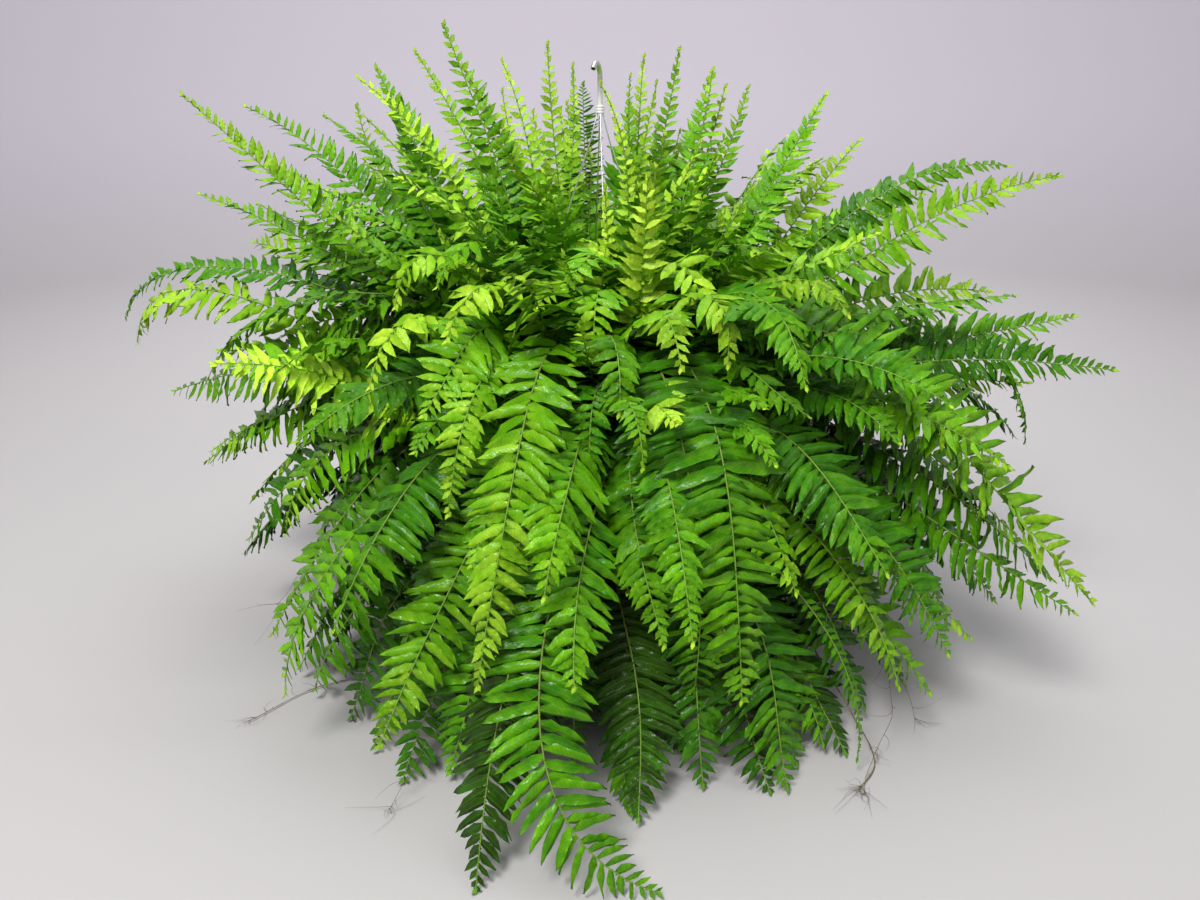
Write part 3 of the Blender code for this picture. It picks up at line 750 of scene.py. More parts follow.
class Spine:
    """The curve of one frond's stalk, with the lean of one try."""

    def __init__(self, frond: Frond, tier: Tier, root: Vector, attempt: int = 0) -> None:
        """Work out the curve as the solids' rule does.

        Args:
            frond: The frond's own values.
            tier: The values of its storey.
            root: Where it leaves the crown.
            attempt: Which of the rule's scattered leans it has, 0 for none.
        """
        draw = random.Random(f"{frond.tip}{attempt}{SEED}")
        freedom = attempt / TRIES
        *drift, lift, swing, bow, tilt, strip = (draw.uniform(-1.0, 1.0) * freedom
                                                 for _ in range(8))
        shift = 0.0 if attempt < TIP_STRAYS_FROM else TIP_SCATTER
        tip = Vector(frond.tip) / 100.0 + Vector(drift) * shift
        tip.z = max(tip.z, 2 * LYING)
        chord = tip - root
        self.heading = math.atan2(chord.y, chord.x)
        launch = math.radians(frond.value("launch", tier) + LAUNCH_SCATTER * lift)
        slope = math.radians(frond.value("slope", tier))
        aim = self.heading + math.radians(AIM_SCATTER * swing)
        ahead = self.heading + math.radians(frond.sweep)
        arch = frond.value("arch", tier) * (1.0 + ARCH_SCATTER * bow)
        start = Vector((math.cos(aim) * math.cos(launch), math.sin(aim) * math.cos(launch),
                        math.sin(launch)))
        end = Vector((math.cos(ahead) * math.cos(slope), math.sin(ahead) * math.cos(slope),
                      math.sin(slope)))
        self.knots = (root, root + start * arch, tip - end * arch * ARCH_END, tip)
        self.roll = math.radians(frond.roll + ROLL_SCATTER * tilt)
        self.face = math.radians(frond.face)
        self.bare = tier.bare * (1.0 + BARE_SCATTER * abs(strip))
        self.leaflet = frond.value("leaflet", tier) * (1.0 - LEAFLET_SCATTER * freedom)
        self.youth = frond.value("youth", tier)
        self.fullness = frond.value("fullness", tier)
        self.spacing = frond.value("spacing", tier)
        self.taper_from = frond.value("taper_from", tier)
        self.samples = [self.at(index / CURVE_SAMPLES) for index in range(CURVE_SAMPLES + 1)]
        self.reach = [0.0]
        for before, after in zip(self.samples, self.samples[1:]):
            self.reach.append(self.reach[-1] + (after - before).length)
        self.length = self.reach[-1]
        self.bare = min(self.bare, MOST_BARE * self.length)

    def at(self, t: float) -> Vector:
        """Return the spine's point at a curve parameter.

        Args:
            t: The parameter, from 0 at the root to 1 at the tip.

        Returns:
            The point.
        """
        a, b, c, d = self.knots
        back = 1.0 - t
        return a * back ** 3 + b * (3 * back * back * t) + c * (3 * back * t * t) + d * t ** 3

    def place(self, distance: float) -> Station:
        """Return the point, side, forward and up directions at a distance from the root.

        Args:
            distance: The distance along the stalk.

        Returns:
            The station there.
        """
        index = 1
        while index < CURVE_SAMPLES and self.reach[index] < distance:
            index += 1
        before, after = self.reach[index - 1], self.reach[index]
        share = (distance - before) / (after - before)
        point = self.samples[index - 1].lerp(self.samples[index], share)
        t = (index - 1 + share) / CURVE_SAMPLES
        beyond, behind = self.at(min(t + TANGENT_STEP, 1.0)), self.at(max(t - TANGENT_STEP, 0.0))
        forward = (beyond - behind).normalized()
        turn = self.heading + self.face
        side = Vector((math.sin(turn), -math.cos(turn), 0.0))
        side = (side - forward * side.dot(forward)).normalized()
        roll = self.roll * smoothstep((distance / self.length - 0.1) / 0.5)
        side = Matrix.Rotation(roll, 3, forward) @ side
        return point, side, forward, side.cross(forward)

    def leaflet_length(self, share: float) -> float:
        """Return a leaflet's length at a share of the blade, 0 at its foot and 1 at its tip."""
        taper = tapered(share, TAPER_FROM, TIP_WIDTH, TAPER_POWER)
        return self.leaflet * swell(share) * taper

    def solid_tips(self) -> list[Vector]:
        """Return the tips of the leaflets that the frond's solid has on one side.

        Returns:
            The tips, from the foot of the blade on.
        """
        blade = self.length - self.bare
        pairs = max(LEAST_PAIRS, round(blade / SOLID_PITCH))
        pitch = blade / (pairs + 0.5)
        tips = []
        for index in range(pairs):
            middle = self.bare + pitch * (index + 0.5)
            point, side, forward, up = self.place(middle)
            out = -side + forward * SICKLE - up * DROOP
            tip = point + out.normalized() * self.leaflet_length((middle - self.bare) / blade)
            tips.append(Vector((tip.x, tip.y, max(tip.z, LYING))))
        return tips


@dataclass
class Crown:
    """One crown: the node of its solid, its root point and the fronds that grow from it."""

    node: str
    storey: Storey
    root: Vector
    fronds: list[Frond]
    spines: list[Spine] = field(default_factory=list)


class GrowthPlan:
    """Shares the fronds among the crowns, and finds the lean that each solid shows."""

    def __init__(self) -> None:
        """Plan the crowns of every storey."""
        everyone = {storey: list(fronds) for storey, fronds in FRONT_FRONDS.items()}
        for storey, fronds in self.rear_fronds().items():
            everyone[storey] += fronds
        self.crowns = [crown for storey in Storey
                       for crown in self.storey_crowns(storey, everyone[storey])]

    @staticmethod
    def rear_fronds() -> dict[Storey, list[Frond]]:
        """Return the rear fronds, spread evenly over each storey with a little scatter.

        Returns:
            The fronds of each storey that has some.
        """
        draw = random.Random(SEED)
        fronds: dict[Storey, list[Frond]] = {}
        for storey, (count, first, last, reach, height) in REAR_FRONDS.items():
            fronds[storey] = []
            for index in range(count):
                heading = first + (last - first) * index / (count - 1)
                heading += draw.uniform(-REAR_SWING, REAR_SWING)
                spread = 1.0 + draw.uniform(-REAR_SCATTER, REAR_SCATTER) * 3
                rise = max(height + draw.uniform(-REAR_SCATTER, REAR_SCATTER), LEAST_RISE)
                tip = polar(reach * spread, heading, rise) * 100.0
                fronds[storey].append(Frond(tuple(tip), roll=draw.uniform(-REAR_ROLL, REAR_ROLL)))
        return fronds

    @staticmethod
    def spread_headings(wanted: list[float], least: float) -> list[float]:
        """Push sorted headings apart until neighbours are at least so far apart.

        Args:
            wanted: The headings in degrees.
            least: The least step between two.

        Returns:
            The headings that they move to.
        """
        placed = list(wanted)
        for _ in range(SPREAD_ROUNDS):
            for index in range(len(placed)):
                after = (index + 1) % len(placed)
                lap = 360.0 if after == 0 else 0.0
                short = least - (placed[after] + lap - placed[index])
                if short > 0.0:
                    placed[index] -= short / 2
                    placed[after] += short / 2
        return placed

    def storey_crowns(self, storey: Storey, fronds: list[Frond]) -> list[Crown]:
        """Return a storey's crowns in the order of the solids' nodes.

        Args:
            storey: The storey.
            fronds: All of its fronds.

        Returns:
            The crowns, each with its own fronds.
        """
        rule = TIERS[storey]
        members = sorted(fronds, key=lambda frond: heading_of(frond.tip))
        groups: list[list[Frond]] = [[] for _ in range(min(rule.slots, len(members)))]
        for index, frond in enumerate(members):
            groups[index * len(groups) // len(members)].append(frond)
        wanted = [sum(heading_of(f.tip) for f in group) / len(group) for group in groups]
        least = min(math.degrees(CROWN_SPACING / rule.circle), CROWN_LAP / len(groups))
        crowns = []
        for index, heading in enumerate(self.spread_headings(wanted, least)):
            root = polar(rule.circle, heading, ROOT_HEIGHT)
            node = f"frond_{storey.value}_{index + 1:02d}"
            crowns.append(Crown(node, storey, root, groups[index]))
        return crowns

    def find_leans(self) -> None:
        """Give each crown the spines whose leaflet tips lie inside its solid."""
        worst = 0.0
        for crown in self.crowns:
            shell = self.shell_of(crown.node)
            for frond in crown.fronds:
                gap, spine = self.match(frond, TIERS[crown.storey], crown.root, shell)
                worst = max(worst, gap)
                if gap > STRAYED:
                    LOG.warning("%s: a frond is %.2f mm from its solid", crown.node, gap * 1000)
                crown.spines.append(spine)
        LOG.info("leans found, worst gap %.3f mm", worst * 1000)

    @staticmethod
    def shell_of(node: str) -> KDTree:
        """Return a search tree of a solid's corners, to a thousandth of a millimetre."""
        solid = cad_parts[node].data
        return tree_of(sorted({tuple(round(x, 6) for x in vert.co) for vert in solid.vertices}))

    @staticmethod
    def match(frond: Frond, tier: Tier, root: Vector, shell: KDTree) -> tuple[float, Spine]:
        """Return the try whose leaflet tips lie midway between the solid's two faces, and its gap.

        Args:
            frond: The frond's own values.
            tier: The values of its storey.
            root: Where it leaves the crown.
            shell: The corners of its solid.

        Returns:
            The gap in metres, and the spine.
        """
        best: tuple[float, Spine] | None = None
        for attempt in range(TRIES):
            spine = Spine(frond, tier, root, attempt)
            gaps = []
            for tip in spine.solid_tips()[2:]:
                pair = shell.find_n(tip, 2)
                gaps.append(((pair[0][0] + pair[1][0]) / 2 - tip).length)
            gap = sorted(gaps)[len(gaps) // 2]
            if best is None or gap < best[0]:
                best = (gap, spine)
            if gap < MATCHED:
                break
        return best


class LeafletKind(Enum):
    """The patterns of leaflet, each with its own bend and edge."""

    ARCHED = "arched"
    WAVED = "waved"
    CUPPED = "cupped"
    BLUNT = "blunt"


@dataclass(frozen=True)
class LeafletCut:
    """One pattern of leaflet, a unit long and wide, lying along +X with its top up."""

    kind: LeafletKind
    fullness: float
    roundness: float
    hook: float
    sag: float
    fold: float
    ruffle: float
    tooth: float
    phase: float
    thickness: float = 0.012

    def outline(self, share: float, ahead: bool) -> float:
        """Return the half width at a share of the length, with an ear at the leading side's foot.

        Args:
            share: The share of the length.
            ahead: Whether it is the leading side.

        Returns:
            The half width, beside the leaflet's length.
        """
        foot = min(1.0, 0.50 + share * (5.0 if ahead else 3.4))
        ear = 0.16 * max(0.0, 1.0 - abs(share - 0.12) / 0.12) if ahead else 0.0
        taper = max(0.0, 1.0 - share ** self.fullness) ** self.roundness
        return 0.5 * (foot * taper + ear)

    def mesh(self, hand: int, steps: int) -> Mesh:
        """Return the closed leaflet.

        Args:
            hand: 1 for the right side of the stalk and -1 for the left, which is its mirror image.
            steps: How many strips long the leaflet is.

        Returns:
            A mesh with its top in material slot 0 and its underside in slot 1.
        """
        form = bmesh.new()
        form.loops.layers.uv.new(FORM_MAP)
        bmesh.ops.create_grid(form, x_segments=steps, y_segments=2, size=0.5, calc_uvs=True)
        step = 1.0 / steps
        place = {}
        for vert in form.verts:
            share = min(max(vert.co.x + 0.5, 0.0), 1.0)
            place[vert] = (share, round(vert.co.y * 2))
        for face in form.faces:
            for loop in face.loops:
                share, side = place[loop.vert]
                loop[form.loops.layers.uv.active].uv = (0.5 + 0.5 * side, share)
        for vert, (share, side) in place.items():
            eased = share ** 0.9
            tooth = 1.0 + self.tooth * (1 if round(share / step) % 2 else -1) * (0.0 < share < 0.95)
            half = self.outline(eased, side * hand > 0) * tooth
            wave = math.sin(eased * 12.0 + self.phase + side * 1.3) * self.ruffle * abs(side)
            height = -self.sag * eased * eased + self.fold * half * abs(side)
            height += wave * (0.3 + 0.7 * eased)
            vert.co = Vector((eased, side * half + hand * self.hook * eased * eased, height))
        copied = bmesh.ops.duplicate(form, geom=form.verts[:] + form.edges[:] + form.faces[:])
        lower = [item for item in copied["geom"] if isinstance(item, bmesh.types.BMFace)]
        bmesh.ops.reverse_faces(form, faces=lower)
        for face in lower:
            face.material_index = 1
        for upper, under in copied["vert_map"].items():
            if upper in place and place[upper][1] == 0 and 0.0 < place[upper][0] < 1.0:
                under.co.z -= self.thickness
        bmesh.ops.remove_doubles(form, verts=form.verts, dist=0.0005)
        form.normal_update()
        for face in form.faces:
            face.smooth = True
        for edge in form.edges:
            edge.smooth = edge.calc_face_angle(0.0) < LEAFLET_CREASE
        return drawn(f"{self.kind.value}_{hand}_{steps}", form)


CUTS = (
    LeafletCut(LeafletKind.ARCHED, 3.4, 0.74, 0.66, 0.20, -0.22, 0.042, 0.06, 0.3),
    LeafletCut(LeafletKind.WAVED, 3.0, 0.78, 0.80, 0.10, -0.10, 0.062, 0.08, 1.9),
    LeafletCut(LeafletKind.CUPPED, 3.8, 0.78, 0.54, 0.26, 0.10, 0.050, 0.05, 3.6),
    LeafletCut(LeafletKind.BLUNT, 1.7, 0.82, 0.42, 0.12, 0.12, 0.070, 0.08, 5.0),
)


def rod_mesh(name: str, sides: int, steps: int) -> Mesh:
    """Return an upright closed rod, one unit high and one in radius, cut into steps.

    Args:
        name: The mesh's name.
        sides: How many sides it has.
        steps: How many pieces it is cut into.

    Returns:
        The mesh.
    """
    form = bmesh.new()
    bmesh.ops.create_cone(form, cap_ends=True, segments=sides, radius1=1.0, radius2=1.0, depth=1.0,
                          matrix=Matrix.Translation((0.0, 0.0, 0.5)))
    uprights = [e for e in form.edges if abs(e.verts[0].co.z - e.verts[1].co.z) > 0.5]
    bmesh.ops.subdivide_edges(form, edges=uprights, cuts=steps - 1)
    layer = form.loops.layers.uv.new(FORM_MAP)
    for face in form.faces:
        face.smooth = len(face.verts) == 4
        for loop in face.loops:
            turn = math.atan2(loop.vert.co.y, loop.vert.co.x) / math.tau
            loop[layer].uv = (turn % 1.0, loop.vert.co.z)
    return drawn(name, form)


def rounded(corners: list[Point], steps: int = 4) -> list[Span]:
    """Return a line through (radius, height, fillet) corners with its corners rounded.

    Args:
        corners: The corners.
        steps: How many pieces each fillet has.

    Returns:
        The line's points, as radius and height.
    """
    line = []
    for index, (radius, height, fillet) in enumerate(corners):
        corner = Vector((radius, height))
        if fillet == 0.0:
            line.append((radius, height))
            continue
        before, after = (Vector(corners[index + step][:2]) - corner for step in (-1, 1))
        cut = fillet / math.tan(before.angle(after) / 2)
        start, end = corner + before.normalized() * cut, corner + after.normalized() * cut
        for step in range(steps + 1):
            t = step / steps
            line.append(tuple(start * (1 - t) ** 2 + corner * (2 * t * (1 - t)) + end * t * t))
    return line


def turned(name: str, line: list[Span], steps: int) -> Mesh:
    """Return the body that a line makes when it turns round the Z axis.

    Args:
        name: The mesh's name.
        line: The line's points, as radius and height.
        steps: How many pieces the turn has.

    Returns:
        The mesh.
    """
    form = bmesh.new()
    verts = [form.verts.new((radius, 0.0, height)) for radius, height in line]
    edges = [form.edges.new(pair) for pair in zip(verts, verts[1:])]
    bmesh.ops.spin(form, geom=verts + edges, axis=(0.0, 0.0, 1.0), cent=(0.0, 0.0, 0.0),
                   angle=math.tau, steps=steps, use_merge=True)
    bmesh.ops.remove_doubles(form, verts=form.verts, dist=0.000002)
    bmesh.ops.recalc_face_normals(form, faces=form.faces)
    return mesh_of(name, form)


def mesh_of(name: str, form: bmesh.types.BMesh, crease: float = CREASE) -> Mesh:
    """Return a form as a smooth mesh whose edges stay sharp past an angle in radians.

    Args:
        name: The mesh's name.
        form: The form, which is used up.
        crease: The angle.

    Returns:
        The mesh.
    """
    for face in form.faces:
        face.smooth = True
    for edge in form.edges:
        edge.smooth = edge.calc_face_angle(0.0) < crease
    return drawn(name, form)


def carved(body: Mesh, tools: list[tuple[Mesh, str]]) -> Mesh:
    """Return a body after other bodies are joined to it or cut from it.

    Args:
        body: The body's mesh.
        tools: Each tool's mesh, and UNION or DIFFERENCE.

    Returns:
        The finished mesh.
    """
    things = [shown(mesh.name, mesh) for mesh in (body, *(mesh for mesh, _ in tools))]
    for thing, (_, operation) in zip(things[1:], tools):
        step = things[0].modifiers.new(operation.lower(), "BOOLEAN")
        step.object = thing
        step.operation = operation
        step.solver = "EXACT"
    bpy.context.view_layer.update()
    result = things[0].evaluated_get(bpy.context.evaluated_depsgraph_get())
    mesh = bpy.data.meshes.new_from_object(result)
    for thing in things:
        bpy.data.objects.remove(thing, do_unlink=True)
    return mesh


class Path:
    """A line through some points, with directions across it that don't twist."""

    def __init__(self, points: list[Vector], smooth: int = 1) -> None:
        """Take the points, and smooth the line between them.

        Args:
            points: The points that the line passes through.
            smooth: How many pieces each stretch is cut into.
        """
        ends = [2 * points[0] - points[1], *points, 2 * points[-1] - points[-2]]
        self.points = []
        for p0, p1, p2, p3 in zip(ends, ends[1:], ends[2:], ends[3:]):
            for t in (index / smooth for index in range(smooth)):
                self.points.append(0.5 * (2 * p1 + (p2 - p0) * t
                                          + (2 * p0 - 5 * p1 + 4 * p2 - p3) * t * t
                                          + (3 * p1 - p0 - 3 * p2 + p3) * t ** 3))
        self.points.append(points[-1])
        self.reach = [0.0]
        self.sides: list[Vector] = []
        side = self.heading(0).orthogonal().normalized()
        for index in range(len(self.points)):
            if index:
                stretch = (self.points[index] - self.points[index - 1]).length
                self.reach.append(self.reach[-1] + stretch)
            ahead = self.heading(index)
            side = (side - ahead * side.dot(ahead)).normalized()
            self.sides.append(side)
        self.length = self.reach[-1]

    def heading(self, index: int) -> Vector:
        """Return the line's direction at a point."""
        last = len(self.points) - 1
        return (self.points[min(index + 1, last)] - self.points[max(index - 1, 0)]).normalized()

    def frame(self, share: float) -> Stand:
        """Return the point and the two directions across the line at a share of its length.

        Args:
            share: The share of the length.

        Returns:
            The point and the directions.
        """
        distance = min(max(share, 0.0), 1.0) * self.length
        index = 1
        while index < len(self.reach) - 1 and self.reach[index] < distance:
            index += 1
        start, end = self.reach[index - 1], self.reach[index]
        blend = (distance - start) / (end - start)
        point = self.points[index - 1].lerp(self.points[index], blend)
        ahead = self.heading(index - 1).lerp(self.heading(index), blend).normalized()
        side = self.sides[index - 1].lerp(self.sides[index], blend)
        side = (side - ahead * side.dot(ahead)).normalized()
        return point, side, ahead.cross(side)


class Sheaf:
    """A mesh in the making, to which leaflets and rods are added."""

    def __init__(self) -> None:
        """Start an empty form with the numbers that the finishes read."""
        self.form = bmesh.new()
        self.form.loops.layers.uv.new(FORM_MAP)
        self.youth = self.form.verts.layers.float.new("youth")
        self.tone = self.form.verts.layers.float.new("tone")

    def add(self, mesh: Mesh, slot: int | None = None) -> list[bmesh.types.BMVert]:
        """Add a copy of a mesh and return its corners.

        Args:
            mesh: The mesh.
            slot: The material slot of its faces, or none to keep its own.

        Returns:
            The corners of the copy.
        """
        verts, faces = len(self.form.verts), len(self.form.faces)
        self.form.from_mesh(mesh)
        self.form.verts.ensure_lookup_table()
        if slot is not None:
            self.form.faces.ensure_lookup_table()
            for face in self.form.faces[faces:]:
                face.material_index = slot
        return self.form.verts[verts:]

    def rod(self, mesh: Mesh, slot: int, route: Callable[[float], Stand],
            radius: Callable[[float], float], youth: Callable[[float], float] = lambda t: t,
            tone: float = 1.0) -> None:
        """Add a rod bent along a route.

        Args:
            mesh: The straight rod.
            slot: The material slot of its faces.
            route: A function from a share of the length to a point and two directions across.
            radius: A function from a share of the length to the radius.
            youth: A function from a share of the length to the finish's youth.
            tone: The finish's brightness.
        """
        rings: dict[float, tuple[Vector, Vector, Vector, float, float]] = {}
        for vert in self.add(mesh, slot):
            share = round(vert.co.z, 5)
            if share not in rings:
                rings[share] = (*route(share), radius(share), youth(share))
            point, side, up, thick, age = rings[share]
            vert.co = point + (side * vert.co.x + up * vert.co.y) * thick
            vert[self.youth] = age
            vert[self.tone] = tone

    def mesh(self, name: str) -> Mesh:
        """Return the finished mesh, pressed against the table where it would pass through.

        Args:
            name: The mesh's name.

        Returns:
            The mesh.
        """
        for vert in self.form.verts:
            if vert.co.z < PRESSED_BELOW:
                vert.co.z = lifted(vert.co.z)
        return drawn(name, self.form)


@dataclass
class FrondMaker:
    """Grows fronds with all their leaflets along a spine."""

    width_foot: float = 0.0058
    width_share: float = 0.094
    pitch_foot: float = 0.0060
    pitch_share: float = 0.064
    stalk_foot: float = 0.00150
    stalk_tip: float = 0.00045
    lean_foot: float = 0.04
    lean_tip: float = 0.52
    droop: float = 0.12
    twist: float = 0.32
    crowding: float = 0.26
    tip_share: float = 0.12
    taper_power: float = 2.1
    blunt_under: float = 0.018
    blunt_youth: float = 0.56
    moods: Span = (-0.22, 0.18)
    tones: Span = (0.80, 1.14)
    folds: Span = (-0.12, 0.22)
    reclines: Span = (-0.08, 0.16)
    wave_rates: Span = (5.0, 11.0)
    lengths: Span = (0.90, 1.08)
    tone_spread: Span = (0.90, 1.10)
    youth_spread: Span = (-0.06, 0.06)
    unruliness: Span = (0.11, 0.25)
    tip_leaflet: Span = (0.005, 0.04)
    tip_fullness: float = 0.8
    tip_youth: float = 0.2
    stalk_youth: float = 0.9
    seating: float = 0.0004
    strips: tuple[tuple[float, int], ...] = ((0.016, 2), (0.026, 3), (0.040, 5), (1.0, 6))

    def __post_init__(self) -> None:
        """Cut the leaflets and rods that every frond uses."""
        self.leaflets = {(cut.kind, hand, steps): cut.mesh(hand, steps)
                         for cut in CUTS for hand in (-1, 1) for _, steps in self.strips}
        self.stalk = rod_mesh("stalk_rod", sides=6, steps=24)
        self.count = 0

    def grow(self, sheaf: Sheaf, spine: Spine, tier: Tier, draw: random.Random,
             stray: float = 0.003, raised: float = 0.0) -> None:
        """Add one frond to a sheaf.

        Args:
            sheaf: The mesh in the making.
            spine: The frond's line.
            tier: Its storey's values.
            draw: The random draws.
            stray: How far its line wavers, in metres.
            raised: How far its leaflets fold up above the stalk, in radians.
        """
        mood = draw.uniform(*self.moods)
        tone = draw.uniform(*self.tones)
        raised += draw.uniform(*self.folds)
        reclined = draw.uniform(*self.reclines)
        waves = [(draw.uniform(*self.wave_rates), draw.uniform(0.0, math.tau)) for _ in range(2)]

        def station(share: float) -> Station:
            """Return the stalk's place and directions at a share of its length, with its wavering.

            Args:
                share: The share of the stalk's length.

            Returns:
                The station there.
            """
            point, side, forward, up = spine.place(spine.length * share)
            swing = stray * smoothstep(share / 0.5)
            across, above = (swing * math.sin(rate * share + phase) for rate, phase in waves)
            return point + side * across + up * above, side, forward, up

        self.lay_stalk(sheaf, station, tone, spine.youth)
        blade = spine.length - spine.bare
        pitch = (self.pitch_foot + self.pitch_share * spine.leaflet) * spine.spacing
        pairs = max(LEAST_PAIRS, round(blade / pitch))
        for index in range(2 * pairs):
            hand = -1 if index % 2 else 1
            share = (index + 0.5) / (2 * pairs)
            share *= 1.0 + self.crowding * (1.0 - 2.0 * spine.youth) * (1.0 - share)
            point, side, forward, up = station((spine.bare + blade * share) / spine.length)
            length = self.leaflet_length(spine, share) * draw.uniform(*self.lengths)
            young = spine.youth + mood + tier.greening * share ** 1.6
            young += draw.uniform(*self.youth_spread)
            unruly = self.unruliness[0] + self.unruliness[1] * max(0.0, young)
            lean = reclined + self.lean_foot + (self.lean_tip - self.lean_foot) * share ** 2
            lean += draw.uniform(-unruly, unruly) * 0.7
            drop = self.droop - raised + draw.uniform(-unruly, unruly) * 1.3
            twist = self.twist + draw.uniform(-unruly, unruly) * 2.0
            short = length < self.blunt_under or (spine.youth > 0.3 and young > self.blunt_youth)
            kind = LeafletKind.BLUNT if short else draw.choice(
                (LeafletKind.ARCHED, LeafletKind.ARCHED, LeafletKind.WAVED, LeafletKind.CUPPED))
            place = self.leaflet_place(point, (side, forward, up), hand, (lean, drop, twist),
                                       length, spine.fullness)
            self.hang(sheaf, self.leaflets[kind, hand, self.strips_of(length)], place, young,
                      tone * draw.uniform(*self.tone_spread))
        point, side, forward, up = station(0.998)
        length = self.tip_leaflet[0] + self.tip_leaflet[1] * spine.leaflet
        place = self.leaflet_place(point, (forward, side, -up), 1, (0.0, 0.1, 0.0), length,
                                   self.tip_fullness)
        self.hang(sheaf, self.leaflets[LeafletKind.BLUNT, 1, self.strips_of(length)], place,
                  spine.youth + tier.greening + self.tip_youth, tone)
        self.count += 2 * pairs + 1

    def leaflet_length(self, spine: Spine, share: float) -> float:
        """Return a leaflet's length at a share of the blade, down to the small ones at its tip."""
        taper = tapered(share, spine.taper_from, self.tip_share, self.taper_power)
        return spine.leaflet * swell(share) * taper

    def strips_of(self, length: float) -> int:
        """Return how many strips long a leaflet of a length is."""
        return next(steps for limit, steps in self.strips if length < limit)

    def lay_stalk(self, sheaf: Sheaf, station: Callable[[float], Station], tone: float,
                  youth: float) -> None:
        """Add a frond's stalk.

        Args:
            sheaf: The mesh in the making.
            station: A function from a share of the length to a station.
            tone: The finish's brightness.
            youth: The youth at its foot.
        """
        def route(share: float) -> Stand:
            """Return the stalk's place and the directions across it."""
            point, side, _, up = station(share)
            return point, up, side

        taper = self.stalk_tip - self.stalk_foot
        sheaf.rod(self.stalk, 2, route, lambda t: self.stalk_foot + taper * t,
                  lambda t: youth + self.stalk_youth * t ** 0.8, tone)

    def leaflet_place(self, point: Vector, axes: tuple[Vector, Vector, Vector], hand: int,
                      turns: tuple[float, float, float], length: float, fullness: float) -> Matrix:
        """Return where a leaflet goes.

        Args:
            point: Its foot.
            axes: The stalk's side, forward and up directions.
            hand: 1 for the right side and -1 for the left.
            turns: Its lean to the tip, its drop below the stalk's plane and its twist, in radians.
            length: Its length.
            fullness: Its width beside the usual width of its length.

        Returns:
            The matrix from the unit leaflet to its place.
        """
        side, forward, up = axes
        lean, drop, twist = turns
        out = side * (hand * math.cos(lean)) + forward * math.sin(lean)
        out = out * math.cos(drop) - up * math.sin(drop)
        ahead = forward * hand
        ahead = (ahead - out * ahead.dot(out)).normalized()
        top = out.cross(ahead)
        turn = Matrix.Rotation(-twist * hand, 3, out)
        ahead, top = turn @ ahead, turn @ top
        width = (self.width_foot + self.width_share * length) * fullness
        lie = Matrix((out * length, ahead * width, top * length)).transposed().to_4x4()
        return Matrix.Translation(point - out * self.seating) @ lie

    @staticmethod
    def hang(sheaf: Sheaf, leaflet: Mesh, place: Matrix, youth: float,
             tone: float) -> None:
        """Add one leaflet at its place.

        Args:
            sheaf: The mesh in the making.
            leaflet: The leaflet's mesh.
            place: Where it goes.
            youth: The finish's youth.
            tone: The finish's brightness.
        """
        for vert in sheaf.add(leaflet):
            vert.co = place @ vert.co
            vert[sheaf.youth] = youth
            vert[sheaf.tone] = tone


@dataclass
class Foliage:
    """The fronds that the solids hold, each grown again with all its leaflets."""

    maker: FrondMaker
    plan: GrowthPlan
    scales: int = 14
    crown_depth: float = 0.009
    crown_length: float = 0.019
    crown_radius: float = 0.0036
    scale_circle: float = 0.0026
    scale_heights: Span = (0.006, 0.011)
    scale_reach: Span = (0.006, 0.011)
    scale_lean: Span = (0.25, 0.65)
    scale_width: float = 0.0011
    scale_tip: float = 0.00008
    scale_flatness: float = 0.25
    golden_angle: float = 137.5

    def build(self) -> None:
        """Grow every crown's fronds."""
        scale = rod_mesh("scale_rod", sides=4, steps=3)
        for number, crown in enumerate(self.plan.crowns):
            draw = random.Random(SEED * 1000 + number)
            sheaf = Sheaf()
            for spine in crown.spines:
                self.maker.grow(sheaf, spine, TIERS[crown.storey], draw,
                                raised=self.fold_of(spine.samples[-1]))
            self.add_crown(sheaf, crown, scale, draw)
            name = crown.node.replace("frond_", "fern_")
            finishes = [Palette.LEAF, Palette.UNDERSIDE, Palette.STALK, Palette.SCALES]
            present(name, sheaf.mesh(name), finishes, (crown.node,))

    @staticmethod
    def fold_of(tip: Vector) -> float:
        """Return how far a frond's leaflets fold up: most at the upper left, less at the right."""
        left = 0.55 * smoothstep((-tip.x - 0.12) / 0.2) * smoothstep((tip.z - 0.28) / 0.15)
        return left + 0.35 * smoothstep((tip.x - 0.15) / 0.2)

    def add_crown(self, sheaf: Sheaf, crown: Crown, scale: Mesh,
                  draw: random.Random) -> None:
        """Add the scaly heart that a crown's fronds rise from.

        Args:
            sheaf: The mesh in the making.
            crown: The crown.
            scale: The straight rod of a scale.
            draw: The random draws.
        """
        rise = Vector((0.0, 0.0, 1.0))
        base = crown.root - rise * self.crown_depth
        sheaf.rod(self.maker.stalk, 3,
                  lambda t: (base + rise * (self.crown_length * t), Vector((1.0, 0.0, 0.0)),
                             Vector((0.0, 1.0, 0.0))),
                  lambda t: self.crown_radius * (1.0 - 0.75 * t * t))
        lowest, spread = self.scale_heights
        for index in range(self.scales):
            heading = index * self.golden_angle
            lean = draw.uniform(*self.scale_lean)
            foot = base + polar(self.scale_circle, heading, lowest + spread * index / self.scales)
            reach = draw.uniform(*self.scale_reach)
            out = polar(math.sin(lean), heading, math.cos(lean))
            side = out.cross(rise).normalized()
            across = out.cross(side) * self.scale_flatness
            sheaf.rod(scale, 3, lambda t: (foot + out * (reach * t), side, across),
                      lambda t: self.scale_width * (1.0 - t) + self.scale_tip)


